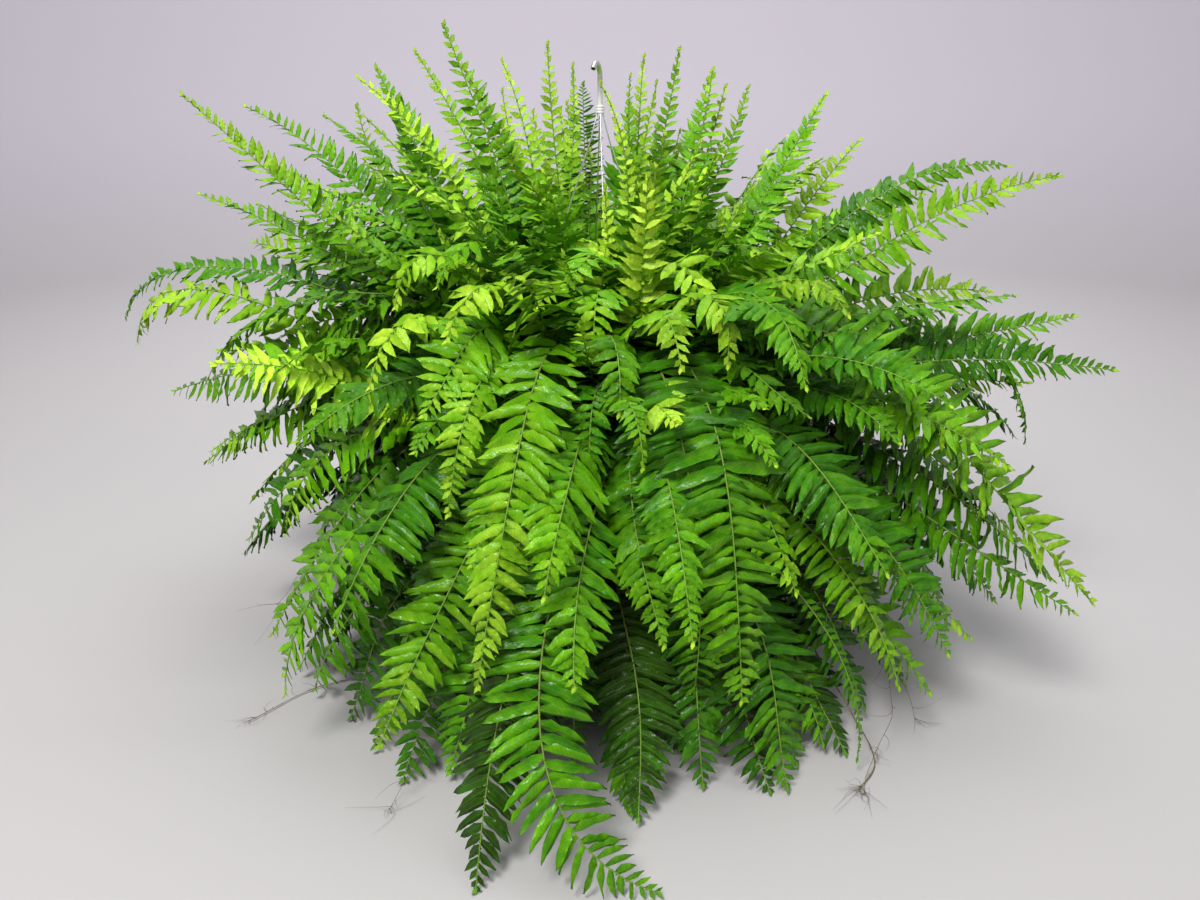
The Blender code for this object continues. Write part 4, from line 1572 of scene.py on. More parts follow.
@dataclass(frozen=True)
class Ring:
    """A ring of filling fronds: where their tips are, in centimetres, and how they point."""

    storey: Storey
    count: int
    reach: Span
    height: Span
    slope: Span
    leaflet: float


RINGS = (
    Ring(Storey.CREST, 15, (6.0, 15.0), (44.0, 56.0), (48.0, 80.0), 0.036),
    Ring(Storey.CREST, 13, (9.0, 20.0), (35.0, 45.0), (-40.0, 15.0), 0.040),
    Ring(Storey.UPPER, 18, (16.0, 30.0), (31.0, 46.0), (-25.0, 30.0), 0.044),
    Ring(Storey.SHOULDER, 20, (22.0, 38.0), (18.0, 35.0), (-60.0, -10.0), 0.047),
    Ring(Storey.WAIST, 18, (26.0, 41.0), (5.0, 19.0), (-80.0, -40.0), 0.046),
)

# Filling fronds of the front, by the storey that they grow from
FRONT_FILLERS: dict[Storey, tuple[Frond, ...]] = {
    Storey.SHOULDER: (
        Frond((-38, -9, 33), 64, -5, 0.18, 0.044, roll=-30),
        Frond((38, -10, 22), 66, -40, 0.20, 0.046, roll=16),
        Frond((41, -18, 17), 66, -45, 0.22, 0.048, roll=12),
        Frond((36, -22, 25), 70, -34, 0.20, 0.044, roll=18),
    ),
    Storey.WAIST: (
        Frond((47, -2, 20), 62, -80, 0.24, 0.040, roll=10),
        Frond((43.5, -24.5, 12.5), 66, -22, 0.20, 0.044, roll=12),
        Frond((36, -20, 8.5), 62, -58, 0.20, 0.044, roll=8),
        Frond((-45, 1, 17.5), 60, -38, 0.22, 0.046, roll=-20),
        Frond((26, -30.5, 9), 66, -60, 0.20, 0.036, roll=6),
    ),
    Storey.SKIRT: (
        Frond((10.5, -33, 1), 48, -60, 0.14, 0.044),
        Frond((18, -31.5, 1), 48, -60, 0.14, 0.048),
        Frond((16.5, -34, 0.8), 48, -60, 0.14, 0.048),
        Frond((20.5, -29.5, 1), 48, -62, 0.14, 0.048),
        Frond((-21, -28, 1), 48, -65, 0.14, 0.048),
        Frond((-23.5, -26, 1), 48, -62, 0.14, 0.050),
        Frond((-13.5, -33, 1), 48, -60, 0.14, 0.046),
        Frond((-27, -22, 2), 48, -66, 0.14, 0.050),
        Frond((-30.5, -18, 3), 48, -65, 0.14, 0.048),
        Frond((-3.3, -31.5, 2), 52, -80, 0.15, 0.034),
        Frond((3, -38, 0.8), 44, -30, 0.14, 0.042),
        Frond((25, -25, 1.5), 48, -62, 0.14, 0.044),
        Frond((21.8, -32.5, 1), 56, -84, 0.14, 0.012),
    ),
}

# Single fronds that stand out from the mound, by the storey that they grow from
STRAYS: tuple[tuple[Storey, Frond], ...] = (
    (Storey.UPPER, Frond((-1.9, 17, 58.3), 78, 82, 0.16, 0.025, youth=-0.08, fullness=0.42,
                         spacing=0.72, taper_from=0.80)),
    (Storey.UPPER, Frond((-0.2, -2.2, 58), 84, 58, 0.16, 0.017, face=-58, sweep=32, youth=0.56,
                         fullness=1.35, spacing=1.25, taper_from=0.30)),
    (Storey.UPPER, Frond((-4.6, 14, 55.5), 80, 76, 0.15, 0.034, face=-20)),
    (Storey.UPPER, Frond((3.2, 12, 56), 82, 78, 0.15, 0.040, face=20)),
    (Storey.CREST, Frond((-10.8, 10, 57.5), 82, 76, 0.15, 0.028, face=-40)),
    (Storey.CREST, Frond((12, 7, 59.5), 84, 84, 0.14, 0.038, face=50)),
    (Storey.UPPER, Frond((-23, 4, 59.5), 74, 62, 0.16, 0.036, roll=-30, face=-60)),
    (Storey.SHOULDER, Frond((-48, -5.5, 33.2), 42, -80, 0.20, 0.036, roll=-24, youth=0.30,
                            taper_from=0.74)),
    (Storey.WAIST, Frond((-33.8, -20, 35), 42, 6, 0.16, 0.048, roll=-40, youth=0.56)),
    (Storey.WAIST, Frond((42.5, -22, 14.5), 66, -38, 0.22, 0.044, roll=10)),
    (Storey.UPPER, Frond((4.1, -17.2, 50.3), 76, 84, 0.12, 0.030, face=168, youth=0.60,
                         fullness=1.30, spacing=1.15, taper_from=0.42)),
    (Storey.UPPER, Frond((0.8, -5, 48.6), 84, 82, 0.16, 0.022, face=199, youth=0.54, fullness=1.35,
                         spacing=1.20, taper_from=0.36)),
    (Storey.UPPER, Frond((-15, -10, 44.9), 80, 66, 0.15, 0.022, face=-122, youth=0.46,
                         fullness=1.20)),
)

# Tips of the filling fronds at the heart of the front, in centimetres
HEART_TIPS = (
    (-7, -17, 38), (8, -18, 39), (-15, -17, 40), (16, -18, 38), (1, -21, 34), (-9, -24, 31),
    (9, -25, 30), (-2, -27, 24), (2, -29, 19), (-6, -31, 15), (18, -24, 33), (-19, -22, 33),
    (-3, -19, 41), (5, -24, 36), (10, -22, 35), (-12, -22, 36), (21, -19, 38), (2, -24, 32),
    (-20, -16, 38), (14, -26, 29), (-15, -26, 28),
)

# How much worse a point in front of the hook is than a crowded one
HOOK_PENALTY = 8.0


@dataclass
class Thicket:
    """Fronds that fill the mound between the ones that the solids hold."""

    maker: FrondMaker
    plan: GrowthPlan
    trials: int = 10
    sectors: int = 12
    spacing: float = 0.034
    hook_keep: float = 0.040
    ceiling: float = 60.0
    lowest: float = 0.5
    jitter: float = 0.002
    draw: random.Random = field(default_factory=lambda: random.Random(SEED + 1))
    crowd: list[Vector] = field(default_factory=list)
    sheaves: dict[int, Sheaf] = field(default_factory=dict)

    def build(self) -> None:
        """Grow the filling fronds, in sectors round the plant."""
        self.crowd += [spot for crown in self.plan.crowns for spine in crown.spines
                       for spot in spine.samples[12::3]]
        for storey, fronds in FRONT_FILLERS.items():
            for frond in fronds:
                self.plant(partial(self.near, storey, frond))
        for tip in HEART_TIPS:
            self.plant(partial(self.at_heart, tip))
        for ring in RINGS:
            for index in range(ring.count):
                self.plant(partial(self.in_ring, ring, index))
        for crown in self.plan.crowns:
            for frond in crown.fronds:
                for _ in range(2 if frond.tip[1] > 14 else 1):
                    self.plant(partial(self.beside, crown, frond))
        for storey, frond in STRAYS:
            self.plant(partial(self.near, storey, frond, 0.2), 0.002)
        for sector, sheaf in sorted(self.sheaves.items()):
            name = f"filling_fronds_{sector + 1:02d}"
            finishes = [Palette.LEAF, Palette.UNDERSIDE, Palette.STALK]
            present(name, sheaf.mesh(name), finishes)

    def nearest_crown(self, storey: Storey, tip: Vector) -> Crown:
        """Return the crown of a storey that is nearest to a tip."""
        crowns = [crown for crown in self.plan.crowns if crown.storey == storey]
        return min(crowns, key=lambda one: (one.root.xy - tip.xy / 100.0).length)

    def near(self, storey: Storey, frond: Frond, spread: float = 0.8) -> tuple[Crown, Frond]:
        """Draw a frond close to a given one.

        Args:
            storey: The storey that it is in.
            frond: The given frond.
            spread: How far its tip may be from the given one's, in centimetres.

        Returns:
            Its crown and the frond.
        """
        spot = Vector(frond.tip) + Vector([self.draw.uniform(-spread, spread) for _ in range(3)])
        tip = (spot.x, spot.y, max(spot.z, self.lowest))
        return self.nearest_crown(storey, spot), replace(frond, tip=tip)

    def at_heart(self, tip: Point) -> tuple[Crown, Frond]:
        """Draw a frond that arches over the heart of the front.

        Args:
            tip: The tip that it is drawn close to.

        Returns:
            Its crown and the frond.
        """
        spot = Vector(tip) + Vector([self.draw.uniform(-1.5, 1.5) for _ in range(3)])
        storey = Storey.UPPER if spot.z > 28.0 else Storey.SHOULDER
        return self.nearest_crown(storey, spot), Frond(
            tuple(spot), launch=82.0, slope=self.draw.uniform(-75.0, -15.0), arch=0.17,
            leaflet=self.draw.uniform(0.034, 0.044), roll=self.draw.uniform(-30.0, 30.0))

    def in_ring(self, ring: Ring, index: int) -> tuple[Crown, Frond]:
        """Draw a frond of a ring, and the crown that it grows from.

        Args:
            ring: The ring.
            index: Its number in the ring.

        Returns:
            Its crown and the frond.
        """
        heading = (index + self.draw.uniform(-0.45, 0.45)) * 360.0 / ring.count
        tip = polar(self.draw.uniform(*ring.reach), heading, self.draw.uniform(*ring.height))
        return self.nearest_crown(ring.storey, tip), Frond(
            tuple(tip), slope=self.draw.uniform(*ring.slope),
            leaflet=ring.leaflet * self.draw.uniform(0.8, 1.05),
            roll=self.draw.uniform(-28.0, 28.0))

    def beside(self, crown: Crown, frond: Frond) -> tuple[Crown, Frond]:
        """Draw a frond beside one that a solid holds.

        Args:
            crown: The crown of the solid's frond.
            frond: The solid's frond.

        Returns:
            The crown and the drawn frond.
        """
        tier = TIERS[crown.storey]
        nearer = 0.08 if crown.storey == Storey.SKIRT else 0.0
        reach = math.hypot(*frond.tip[:2]) * self.draw.uniform(0.62 - nearer, 0.93 - nearer)
        heading = heading_of(frond.tip) + self.draw.uniform(-14.0, 14.0)
        rise = frond.tip[2] + self.draw.uniform(-5.0, 4.0)
        rise -= 4.0 * smoothstep((frond.tip[2] - 50.0) / 8.0)
        rise = min(max(rise, self.lowest), self.ceiling)
        return crown, Frond(tuple(polar(reach, heading, rise)), frond.launch,
                            frond.value("slope", tier) + self.draw.uniform(-12.0, 12.0), frond.arch,
                            frond.value("leaflet", tier) * self.draw.uniform(0.8, 1.05),
                            0.6 * frond.roll + self.draw.uniform(-20.0, 20.0), frond.face * 0.7)

    def plant(self, sample: Callable[[], tuple[Crown, Frond]], stray: float = 0.008) -> None:
        """Grow the one of some drawn fronds that keeps furthest from its neighbours.

        Args:
            sample: A function that draws a crown and a frond.
            stray: How far its line wavers, in metres.
        """
        tree = tree_of(self.crowd)
        best: tuple[float, Crown, Spine] | None = None
        for _ in range(self.trials):
            crown, frond = sample()
            jitter = (self.draw.uniform(-self.jitter, self.jitter) for _ in range(2))
            spine = Spine(frond, TIERS[crown.storey], crown.root + Vector((*jitter, 0.0)))
            crowding = sum(max(0.0, 1.0 - tree.find(spot)[2] / self.spacing)
                           for spot in spine.samples[14::3])
            crowding += sum(HOOK_PENALTY for spot in spine.samples if self.hides_hook(spot))
            if best is None or crowding < best[0]:
                best = (crowding, crown, spine)
        _, crown, spine = best
        self.crowd += spine.samples[12::3]
        sector = int((math.degrees(spine.heading) % 360.0) // (360.0 / self.sectors))
        sheaf = self.sheaves.setdefault(sector, Sheaf())
        self.maker.grow(sheaf, spine, TIERS[crown.storey], self.draw, stray)

    def hides_hook(self, spot: Vector) -> bool:
        """Return whether a point stands round the hook or before it."""
        return abs(spot.x) < self.hook_keep and spot.z > 0.42 - 0.14 * spot.y and spot.y < 0.03


@dataclass
class BasketPot:
    """The moulded pot with its folded rim, foot ring, drain holes and ears for the wires."""

    height: float = 0.165
    base_radius: float = 0.088
    top_radius: float = 0.122
    wall: float = 0.0020
    floor: float = 0.0025
    rim_radius: float = 0.127
    rim_drop: float = 0.012
    rim_skin: float = 0.0016
    foot_width: float = 0.007
    foot_depth: float = 0.0012
    ridges: tuple[float, ...] = (0.030, 0.128)
    turn_steps: int = 96
    drain_radius: float = 0.005
    drain_circle: float = 0.055
    drain_turn: float = 45.0
    hole_sides: int = 20
    hole_depth: float = 0.02
    ear_circle: float = 0.1325
    ear_inset: float = 0.002
    ear_size: Point = (0.014, 0.012, 0.003)
    ear_hole: float = 0.0013
    ear_edge: float = 0.0009
    first_ear: float = 6.0
    quarters: int = 4

    def wall_radius(self, height: float) -> float:
        """Return the outer radius of the wall at a height."""
        return self.base_radius + (self.top_radius - self.base_radius) * height / self.height

    def profile(self) -> list[Span]:
        """Return the turned line, from the middle of the floor inside to that of the underside.

        Returns:
            The line's points, as radius and height.
        """
        rim_foot = self.height - self.rim_drop
        tuck = self.height - self.rim_skin * 2
        corners = [(0.0, self.floor, 0.0),
                   (self.wall_radius(self.floor) - self.wall, self.floor, 0.0040),
                   (self.wall_radius(self.height) - self.wall, self.height, 0.0008),
                   (self.rim_radius, self.height, 0.0014),
                   (self.rim_radius, rim_foot, 0.0006),
                   (self.rim_radius - self.rim_skin, rim_foot, 0.0006),
                   (self.rim_radius - self.rim_skin, tuck, 0.0008),
                   (self.wall_radius(tuck), tuck, 0.0008)]
        for ridge in sorted(self.ridges, reverse=True):
            for step, rise in ((0.0020, 0.0), (0.0010, 0.0005), (-0.0010, 0.0005), (-0.0020, 0.0)):
                corners.append((self.wall_radius(ridge + step) + rise, ridge + step, 0.0))
        corners += [(self.base_radius, 0.0, 0.0018),
                    (self.base_radius - self.foot_width, 0.0, 0.0008),
                    (self.base_radius - self.foot_width - 0.0012, self.foot_depth, 0.0008),
                    (0.0, self.foot_depth, 0.0)]
        return rounded(corners)

    def ears(self) -> Mesh:
        """Return the four ears.

        Returns:
            The mesh.
        """
        form = bmesh.new()
        size = Matrix.Diagonal((*self.ear_size, 1.0))
        centre = Vector((self.ear_circle - self.ear_inset, 0.0,
                         self.height - self.ear_inset - self.ear_size[2] / 2))
        for index in range(self.quarters):
            turn = Matrix.Rotation(math.radians(self.first_ear + 90.0 * index), 4, "Z")
            bmesh.ops.create_cube(form, size=1.0, matrix=turn @ Matrix.Translation(centre) @ size)
        bmesh.ops.bevel(form, geom=form.edges[:], offset=self.ear_edge, segments=3, profile=0.5,
                        affect="EDGES", material=-1)
        return mesh_of("ears", form)

    def holes(self) -> Mesh:
        """Return the bodies of the drain holes and of the holes in the ears.

        Returns:
            The mesh.
        """
        form = bmesh.new()
        kinds = ((self.drain_circle, self.drain_turn, self.drain_radius, 0.0),
                 (self.ear_circle, self.first_ear, self.ear_hole, self.height))
        for index in range(self.quarters):
            for circle, start, radius, middle in kinds:
                place = Matrix.Translation(polar(circle, start + 90.0 * index, middle))
                bmesh.ops.create_cone(form, cap_ends=True, segments=self.hole_sides, radius1=radius,
                                      radius2=radius, depth=self.hole_depth, matrix=place)
        return mesh_of("holes", form)

    def build(self) -> None:
        """Make the pot."""
        body = turned("pot_body", self.profile(), self.turn_steps)
        mesh = carved(body, [(self.ears(), "UNION"), (self.holes(), "DIFFERENCE")])
        present("basket_pot", mesh, [Palette.PLASTIC], ("pot",))


@dataclass
class PottingMix:
    """The soil with its lumpy top, and the crumbs and perlite that lie on it."""

    edge_radius: float = 0.1150
    edge_height: float = 0.143
    crown_height: float = 0.148
    bottom_radius: float = 0.0862
    bottom: float = 0.0029
    steps: int = 72
    rings: int = 16
    lump: float = 0.0022
    lump_pitch: float = 130.0
    crumbs: int = 300
    grains: int = 90
    crumb_sizes: Span = (0.0011, 0.0032)
    grain_sizes: Span = (0.0010, 0.0019)
    strewn_inside: float = 0.004

    def surface(self, radius: float) -> float:
        """Return the smooth height of the soil at a radius."""
        fall = self.edge_height - self.crown_height
        return self.crown_height + fall * (radius / self.edge_radius) ** 2

    def relief(self, spot: Vector) -> float:
        """Return how far the soil's lumps raise it at a spot."""
        return self.lump * noise.fractal(spot * self.lump_pitch, 1.0, 2.0, 4)

    def build(self) -> None:
        """Make the soil and what lies on it."""
        radii = [self.edge_radius * index / self.rings for index in range(self.rings + 1)]
        line = [(radius, self.surface(radius)) for radius in radii]
        line += [(self.bottom_radius, self.bottom), (0.0, self.bottom)]
        body = turned("soil_body", line, self.steps)
        for vert in body.vertices:
            if vert.co.z > self.edge_height - 0.001:
                vert.co.z += self.relief(vert.co)
        present("potting_mix", body, [Palette.PEAT], ("soil",))
        self.scatter()

    def scatter(self) -> None:
        """Strew crumbs of bark and grains of perlite over the soil."""
        draw = random.Random(SEED + 5)
        form = bmesh.new()
        for index in range(self.crumbs + self.grains):
            radius = (self.edge_radius - self.strewn_inside) * math.sqrt(draw.random())
            spot = polar(radius, draw.uniform(0.0, 360.0), self.surface(radius))
            spot.z += self.relief(spot)
            grain = index >= self.crumbs
            size = draw.uniform(*(self.grain_sizes if grain else self.crumb_sizes))
            stretch = Matrix.Diagonal((size, size * draw.uniform(0.5, 0.9),
                                       size * draw.uniform(0.4, 0.7), 1.0))
            turn = Matrix.Rotation(draw.uniform(0.0, math.tau), 4, "Z")
            faces = len(form.faces)
            bmesh.ops.create_icosphere(form, subdivisions=1, radius=1.0,
                                       matrix=Matrix.Translation(spot) @ turn @ stretch)
            form.faces.ensure_lookup_table()
            for face in form.faces[faces:]:
                face.material_index = int(grain)
        present("soil_crumbs", mesh_of("soil_crumbs", form, CRUMB_CREASE),
                [Palette.CRUMB, Palette.PERLITE])


@dataclass
class Hanger:
    """The four wires, the crimped ferrule and the hook."""

    wire_radius: float = 0.0008
    wire_count: int = 4
    first_wire: float = 6.0
    ear_circle: float = 0.1325
    ear_top: float = 0.163
    ear_depth: float = 0.003
    gather_circle: float = 0.0023
    ferrule_bottom: float = 0.553
    ferrule_top: float = 0.5605
    ferrule_radius: float = 0.0043
    hook_wire: float = 0.0026
    hook_radius: float = 0.0150
    hook_crown: float = 0.5994
    hook_turn: float = 143.0
    hook_heading: float = -104.0
    hook_steps: int = 24
    chamfer: float = 0.00035
    end_share: float = 0.72
    foot_reach: float = 0.006
    foot_gap: float = 0.0003
    foot_bend: float = 0.0016
    foot_steps: int = 4
    upright: float = 0.004
    tucked: float = 0.0027
    grooves: Span = (0.68, 0.32)
    groove_width: float = 0.0008
    groove_depth: float = 0.0004

    def build(self) -> None:
        """Make the hanger's pieces."""
        for index in range(self.wire_count):
            path = Path(self.wire_points(self.first_wire + 360.0 / self.wire_count * index))
            self.lay(f"wire_{index + 1}", path, self.wire_radius, sides=10, steps=30)
        self.lay("hook", Path(self.hook_points()), self.hook_wire, sides=24, steps=96)
        self.add_ferrule()

    def wire_points(self, heading: float) -> list[Vector]:
        """Return a wire's points, from its bent foot under the ear to the ferrule.

        Args:
            heading: The wire's heading in degrees.

        Returns:
            The points.
        """
        foot = self.ear_top - self.ear_depth - self.wire_radius - self.foot_gap
        line = [(self.ear_circle + self.foot_reach, foot)]
        for step in range(self.foot_steps + 1):
            angle = math.pi / 2 * step / self.foot_steps
            line.append((self.ear_circle + self.foot_bend * (1.0 - math.sin(angle)),
                         foot + self.foot_bend * (1.0 - math.cos(angle))))
        line += [(self.ear_circle, self.ear_top + self.upright),
                 (self.gather_circle, self.ferrule_bottom - self.upright),
                 (self.gather_circle, self.ferrule_bottom + self.tucked)]
        return [polar(radius, heading, height) for radius, height in line]

    def hook_points(self) -> list[Vector]:
        """Return the hook's points, up the shank and round the crown to its cut end.

        Returns:
            The points.
        """
        top = self.hook_crown - self.hook_radius
        points = [Vector((0.0, 0.0, self.ferrule_top - self.tucked)),
                  Vector((0.0, 0.0, top - self.upright))]
        for step in range(self.hook_steps + 1):
            angle = math.radians(self.hook_turn * step / self.hook_steps)
            reach = self.hook_radius * (1.0 - math.cos(angle))
            points.append(polar(reach, self.hook_heading, top + self.hook_radius * math.sin(angle)))
        return points

    def lay(self, name: str, path: Path, radius: float, sides: int, steps: int) -> None:
        """Make one round wire with chamfered ends along a path.

        Args:
            name: The wire's name.
            path: Its middle line.
            radius: Its radius.
            sides: How many sides it has.
            steps: How many pieces it is cut into.
        """
        sheaf = Sheaf()
        edge = self.chamfer / path.length

        def thick(share: float) -> float:
            """Return the radius, less at the two ends."""
            return radius * (self.end_share if share in (0.0, 1.0) else 1.0)

        def route(share: float) -> Stand:
            """Return the path's place, with the rings next to the ends drawn close to them.

            Args:
                share: The share of the length.

            Returns:
                The point and the directions.
            """
            near = min(share, 1.0 - share)
            if 0.0 < near < 1.5 / steps:
                share = edge if share < 0.5 else 1.0 - edge
            return path.frame(share)

        # Youth runs from 0 at the first end to 1 at the last, so the steel's painted glare whitens
        # the first end
        sheaf.rod(rod_mesh(name, sides, steps), 0, route, thick)
        # The end caps get the second finish, painted near black as a dark reflection
        for face in sheaf.form.faces:
            face.material_index = 1 if len(face.verts) > 4 else 0
        present(f"steel_{name}", sheaf.mesh(f"steel_{name}"), [Palette.STEEL, Palette.CUT],
                (f"hanger_{name}",))

    def add_ferrule(self) -> None:
        """Make the ferrule with its two crimped grooves."""
        radius, bottom, top = self.ferrule_radius, self.ferrule_bottom, self.ferrule_top
        span = top - bottom
        corners = [(0.0, top, 0.0), (radius, top, 0.0007)]
        for share in self.grooves:
            middle = bottom + span * share
            corners += [(radius, middle + self.groove_width, 0.0003),
                        (radius - self.groove_depth, middle, 0.0005),
                        (radius, middle - self.groove_width, 0.0003)]
        corners += [(radius, bottom, 0.0007), (0.0, bottom, 0.0)]
        mesh = turned("ferrule", rounded(corners), steps=40)
        # The ferrule carries no youth, so the steel finish paints it white with glare all over
        present("crimped_ferrule", mesh, [Palette.STEEL], ("hanger_ferrule",))


@dataclass(frozen=True)
class Strand:
    """A runner or root: its radius, route in centimetres, hairs and the node it stands for."""

    radius: float
    route: tuple[Point, ...]
    hairs: int
    tuft: int = 0
    node: str | None = None


STRANDS = (
    Strand(0.00090, ((7.6, -7.0, 13.6), (7.6, -7.0, 14.7), (7.7, -7.1, 15.8), (9.6, -9.1, 18.6),
                     (14, -13.5, 17.5), (19, -18.5, 9), (22.5, -23.5, 4), (25, -30, 0.4),
                     (22.5, -34, 0.25)), 16, 14, "runner_right"),
    Strand(0.00090, ((-8.2, -6.2, 13.6), (-8.2, -6.2, 14.7), (-8.3, -6.3, 15.8),
                     (-10.5, -7.9, 18.6), (-15, -11, 15.5), (-19.5, -13.5, 4), (-24, -16.5, 0.4),
                     (-29.5, -19.5, 0.25), (-34, -24.5, 0.25)), 14, 9, "runner_left"),
    Strand(0.00090, ((1.0, -10.3, 13.6), (1.0, -10.3, 14.7), (1.0, -10.3, 15.8),
                     (0.8, -12.8, 18.6), (0.5, -17, 18.0), (0.2, -22.5, 13), (2.5, -26.5, 9.5),
                     (6.5, -28, 9), (9.5, -28.5, 7)), 5, 0, "runner_front"),
)

ROOTS = (
    Strand(0.00042, ((9, -9, 15), (13, -12, 17.5), (19, -17, 10), (27, -20, 6.5), (27.5, -26, 3),
                     (24.5, -31, 1.0), (22.8, -34.5, 0.3)), 14, 12),
    Strand(0.00038, ((7, -11, 15), (10, -15, 16.5), (15, -25, 7.5), (12.5, -28.5, 5.2),
                     (9.0, -30, 4.2)), 9, 5),
    Strand(0.00036, ((1, -12, 15), (0, -16, 16), (-1, -24, 6), (-1, -29.5, 4.5),
                     (-2.5, -32, 2.2)), 10, 8),
    Strand(0.00034, ((-10, -9, 15), (-14, -12, 16.5), (-26, -12, 12.5), (-31, -10.5, 10),
                     (-35, -11, 5.2)), 7, 6),
    Strand(0.00034, ((3, -12, 15), (4, -16, 15.5), (5.5, -25, 5.5), (3, -30, 3.2),
                     (1.5, -31, 0.8)), 9, 7),
    Strand(0.00040, ((13, -8, 15), (17, -10, 17), (26, -16, 8), (29, -22, 4.5),
                     (30.5, -25, 0.8)), 9, 6),
    Strand(0.00036, ((-4, -12, 15), (-6, -16, 16), (-10, -25, 7), (-15, -33, 4),
                     (-18, -36.5, 0.4)), 9, 7),
    Strand(0.00036, ((2, 12, 15), (3, 16, 17), (5, 26, 8), (9, 33, 0.5)), 9, 7),
    Strand(0.00036, ((-11, 8, 15), (-15, 10, 17), (-24, 18, 7), (-30, 21, 0.5)), 9, 7),
)


@dataclass
class Runners:
    """The runners, the thin roots beside them and their hairs."""

    runner_waver: float = 0.0006
    root_waver: float = 0.0016
    knot_pitch: float = 0.032
    hair_radius: float = 0.00020
    hair_lengths: Span = (0.006, 0.020)
    tuft_lengths: Span = (0.008, 0.024)
    hairs_along: Span = (0.45, 0.98)
    tuft_along: Span = (0.985, 1.0)
    draw: random.Random = field(default_factory=lambda: random.Random(SEED + 9))

    def __post_init__(self) -> None:
        """Make the straight rods that every runner, root and hair uses."""
        self.tube = rod_mesh("runner_rod", sides=8, steps=80)
        self.thread = rod_mesh("root_rod", sides=5, steps=44)
        self.hair = rod_mesh("hair_rod", sides=3, steps=6)

    def build(self) -> None:
        """Make every runner, and the roots in one piece."""
        finishes = [Palette.RUNNER, Palette.ROOT]
        for strand in STRANDS:
            sheaf = Sheaf()
            self.lay(sheaf, strand, self.runner_waver)
            name = strand.node.replace("runner", "stolon")
            present(name, sheaf.mesh(name), finishes, (strand.node,))
        sheaf = Sheaf()
        for strand in ROOTS:
            self.lay(sheaf, strand, self.root_waver)
        present("thin_roots", sheaf.mesh("thin_roots"), finishes)

    def lay(self, sheaf: Sheaf, strand: Strand, waver: float) -> None:
        """Add one runner or root with its hairs.

        Args:
            sheaf: The mesh in the making.
            strand: The runner or root.
            waver: How far its line wavers, in metres.
        """
        path = Path([Vector(point) / 100.0 for point in strand.route], 10)
        phases = [self.draw.uniform(0.0, math.tau) for _ in range(4)]

        def route(share: float) -> Stand:
            """Return the path's place, with the strand's wavering.

            Args:
                share: The share of the length.

            Returns:
                The point and the directions.
            """
            point, side, up = path.frame(share)
            swing = waver * smoothstep(share / 0.3)
            across = math.sin(share * 23.0 + phases[0]) + 0.5 * math.sin(share * 57.0 + phases[1])
            above = math.sin(share * 19.0 + phases[2]) + 0.5 * math.sin(share * 49.0 + phases[3])
            return point + side * (across * swing) + up * (above * swing), side, up

        def thick(share: float) -> float:
            """Return the radius, with a knot at each pitch."""
            knot = max(0.0, math.cos(share * path.length / self.knot_pitch * math.tau) - 0.9) * 4.0
            return strand.radius * (1.0 + 0.5 * knot) * (1.0 - 0.45 * share)

        sheaf.rod(self.tube if strand.node else self.thread, 0, route, thick)
        for count, along, lengths in ((strand.hairs, self.hairs_along, self.hair_lengths),
                                      (strand.tuft, self.tuft_along, self.tuft_lengths)):
            for _ in range(count):
                foot = route(self.draw.uniform(*along))
                self.grow_hair(sheaf, foot, self.draw.uniform(*lengths))

    def grow_hair(self, sheaf: Sheaf, stand: Stand, length: float) -> None:
        """Add one hair that leaves a runner and droops.

        Args:
            sheaf: The mesh in the making.
            stand: Where it leaves.
            length: Its length.
        """
        foot, side, up = stand
        turn = self.draw.uniform(0.0, math.tau)
        out = side * math.cos(turn) + up * math.sin(turn)
        out += side.cross(up) * self.draw.uniform(0.2, 1.0)
        sway = Vector((self.draw.uniform(-1, 1), self.draw.uniform(-1, 1),
                       self.draw.uniform(-1.0, 0.2)))
        points = [foot, foot + out * (length * 0.3), foot + (out + sway * 0.5) * (length * 0.6),
                  foot + (out * 0.8 + sway) * length]
        path = Path(points, 4)
        sheaf.rod(self.hair, 1, path.frame, lambda t: self.hair_radius * (1.0 - 0.7 * t))


@dataclass(frozen=True)
class Lamp:
    """A square soft light: where it stands, what it faces, its side, watts and colour."""

    name: str
    place: Point
    aim: Point
    size: float
    power: float
    colour: Colour


PLANT = (0.0, 0.0, 0.25)
LAMPS = (
    Lamp("key_light", (-0.7, -1.5, 2.3), PLANT, 0.75, 64.0, (1.0, 0.985, 0.96)),
    Lamp("fill_light", (1.9, -1.0, 1.4), PLANT, 1.4, 9.0, (0.97, 0.98, 1.0)),
    Lamp("top_light", (0.2, 0.4, 2.4), PLANT, 2.0, 24.0, (1.0, 1.0, 1.0)),
    Lamp("wall_light", (0.0, 1.5, 2.9), (0.0, 3.9, 1.2), 2.2, 76.0, (0.98, 0.97, 1.0)),
)


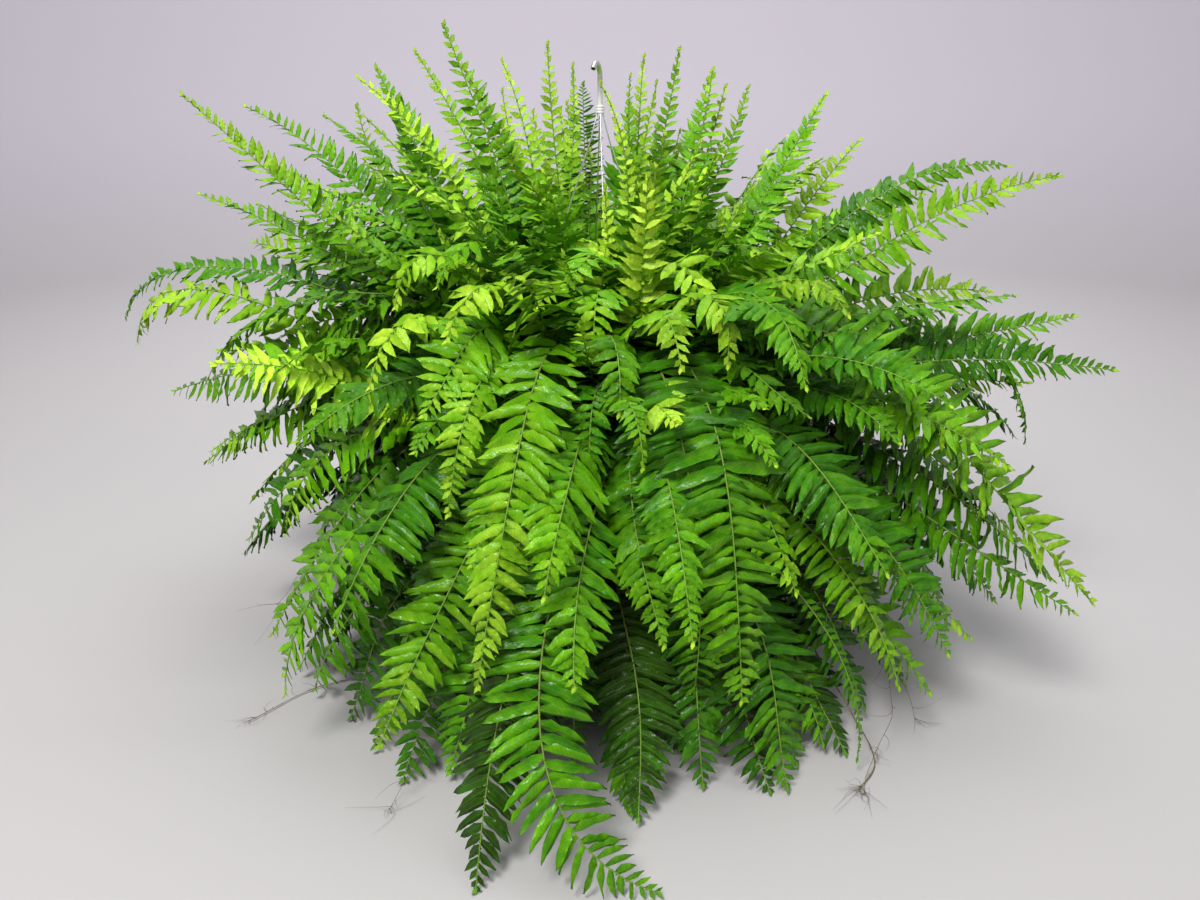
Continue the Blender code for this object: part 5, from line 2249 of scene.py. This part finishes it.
@dataclass
class Studio:
    """Pale floor and backdrop, soft lights and the camera."""

    camera_place: Point = (0.0, -0.97, 0.555)
    pitch: float = 20.6
    lens: float = 27.03
    sensor: float = 36.0
    floor_height: float = -0.0004
    room_radius: float = 3.9
    cove_radius: float = 1.1
    wall_height: float = 3.2
    air_colour: Colour = (0.93, 0.92, 0.96)
    air_strength: float = 0.11

    def build(self) -> None:
        """Set up the studio."""
        self.add_floor()
        self.add_camera()
        for lamp in LAMPS:
            self.add_light(lamp)
        bpy.context.scene.view_settings.view_transform = "Standard"
        world = bpy.data.worlds.new("studio_air")
        world.use_nodes = True
        air = world.node_tree.nodes["Background"]
        air.inputs["Color"].default_value = (*self.air_colour, 1.0)
        air.inputs["Strength"].default_value = self.air_strength
        bpy.context.scene.world = world

    def add_floor(self) -> None:
        """Make the round floor, which bends up into a backdrop on all sides."""
        line = rounded([(0.0, self.floor_height, 0.0),
                        (self.room_radius, self.floor_height, self.cove_radius),
                        (self.room_radius, self.wall_height, 0.0)], steps=24)
        mesh = turned("studio_floor", line, steps=96)
        mesh.materials.append(Palette.STUDIO.material())
        floor = shown("studio_floor", mesh)

    def add_camera(self) -> None:
        """Put the camera where the photograph was taken from."""
        data = bpy.data.cameras.new("view")
        data.lens = self.lens
        data.sensor_width = self.sensor
        camera = shown("view", data)
        camera.location = self.camera_place
        camera.rotation_euler = (math.radians(90.0 - self.pitch), 0.0, 0.0)
        bpy.context.scene.camera = camera

    @staticmethod
    def add_light(lamp: Lamp) -> None:
        """Add a light.

        Args:
            lamp: The light's values.
        """
        data = bpy.data.lights.new(lamp.name, "AREA")
        data.size, data.energy, data.color = lamp.size, lamp.power, lamp.colour
        light = shown(lamp.name, data)
        light.location = lamp.place
        ray = Vector(lamp.aim) - Vector(lamp.place)
        light.rotation_euler = ray.to_track_quat("-Z", "Y").to_euler()
        light.visible_camera = False


def main() -> None:
    """Build every sub-assembly in order."""
    logging.basicConfig(level=logging.INFO, format="%(name)s %(message)s")
    Studio().build()
    plan = GrowthPlan()
    plan.find_leans()
    maker = FrondMaker()
    Foliage(maker, plan).build()
    Thicket(maker, plan).build()
    BasketPot().build()
    PottingMix().build()
    Hanger().build()
    Runners().build()
    LOG.info("%d leaflets", maker.count)


if __name__ == "__main__":
    main()
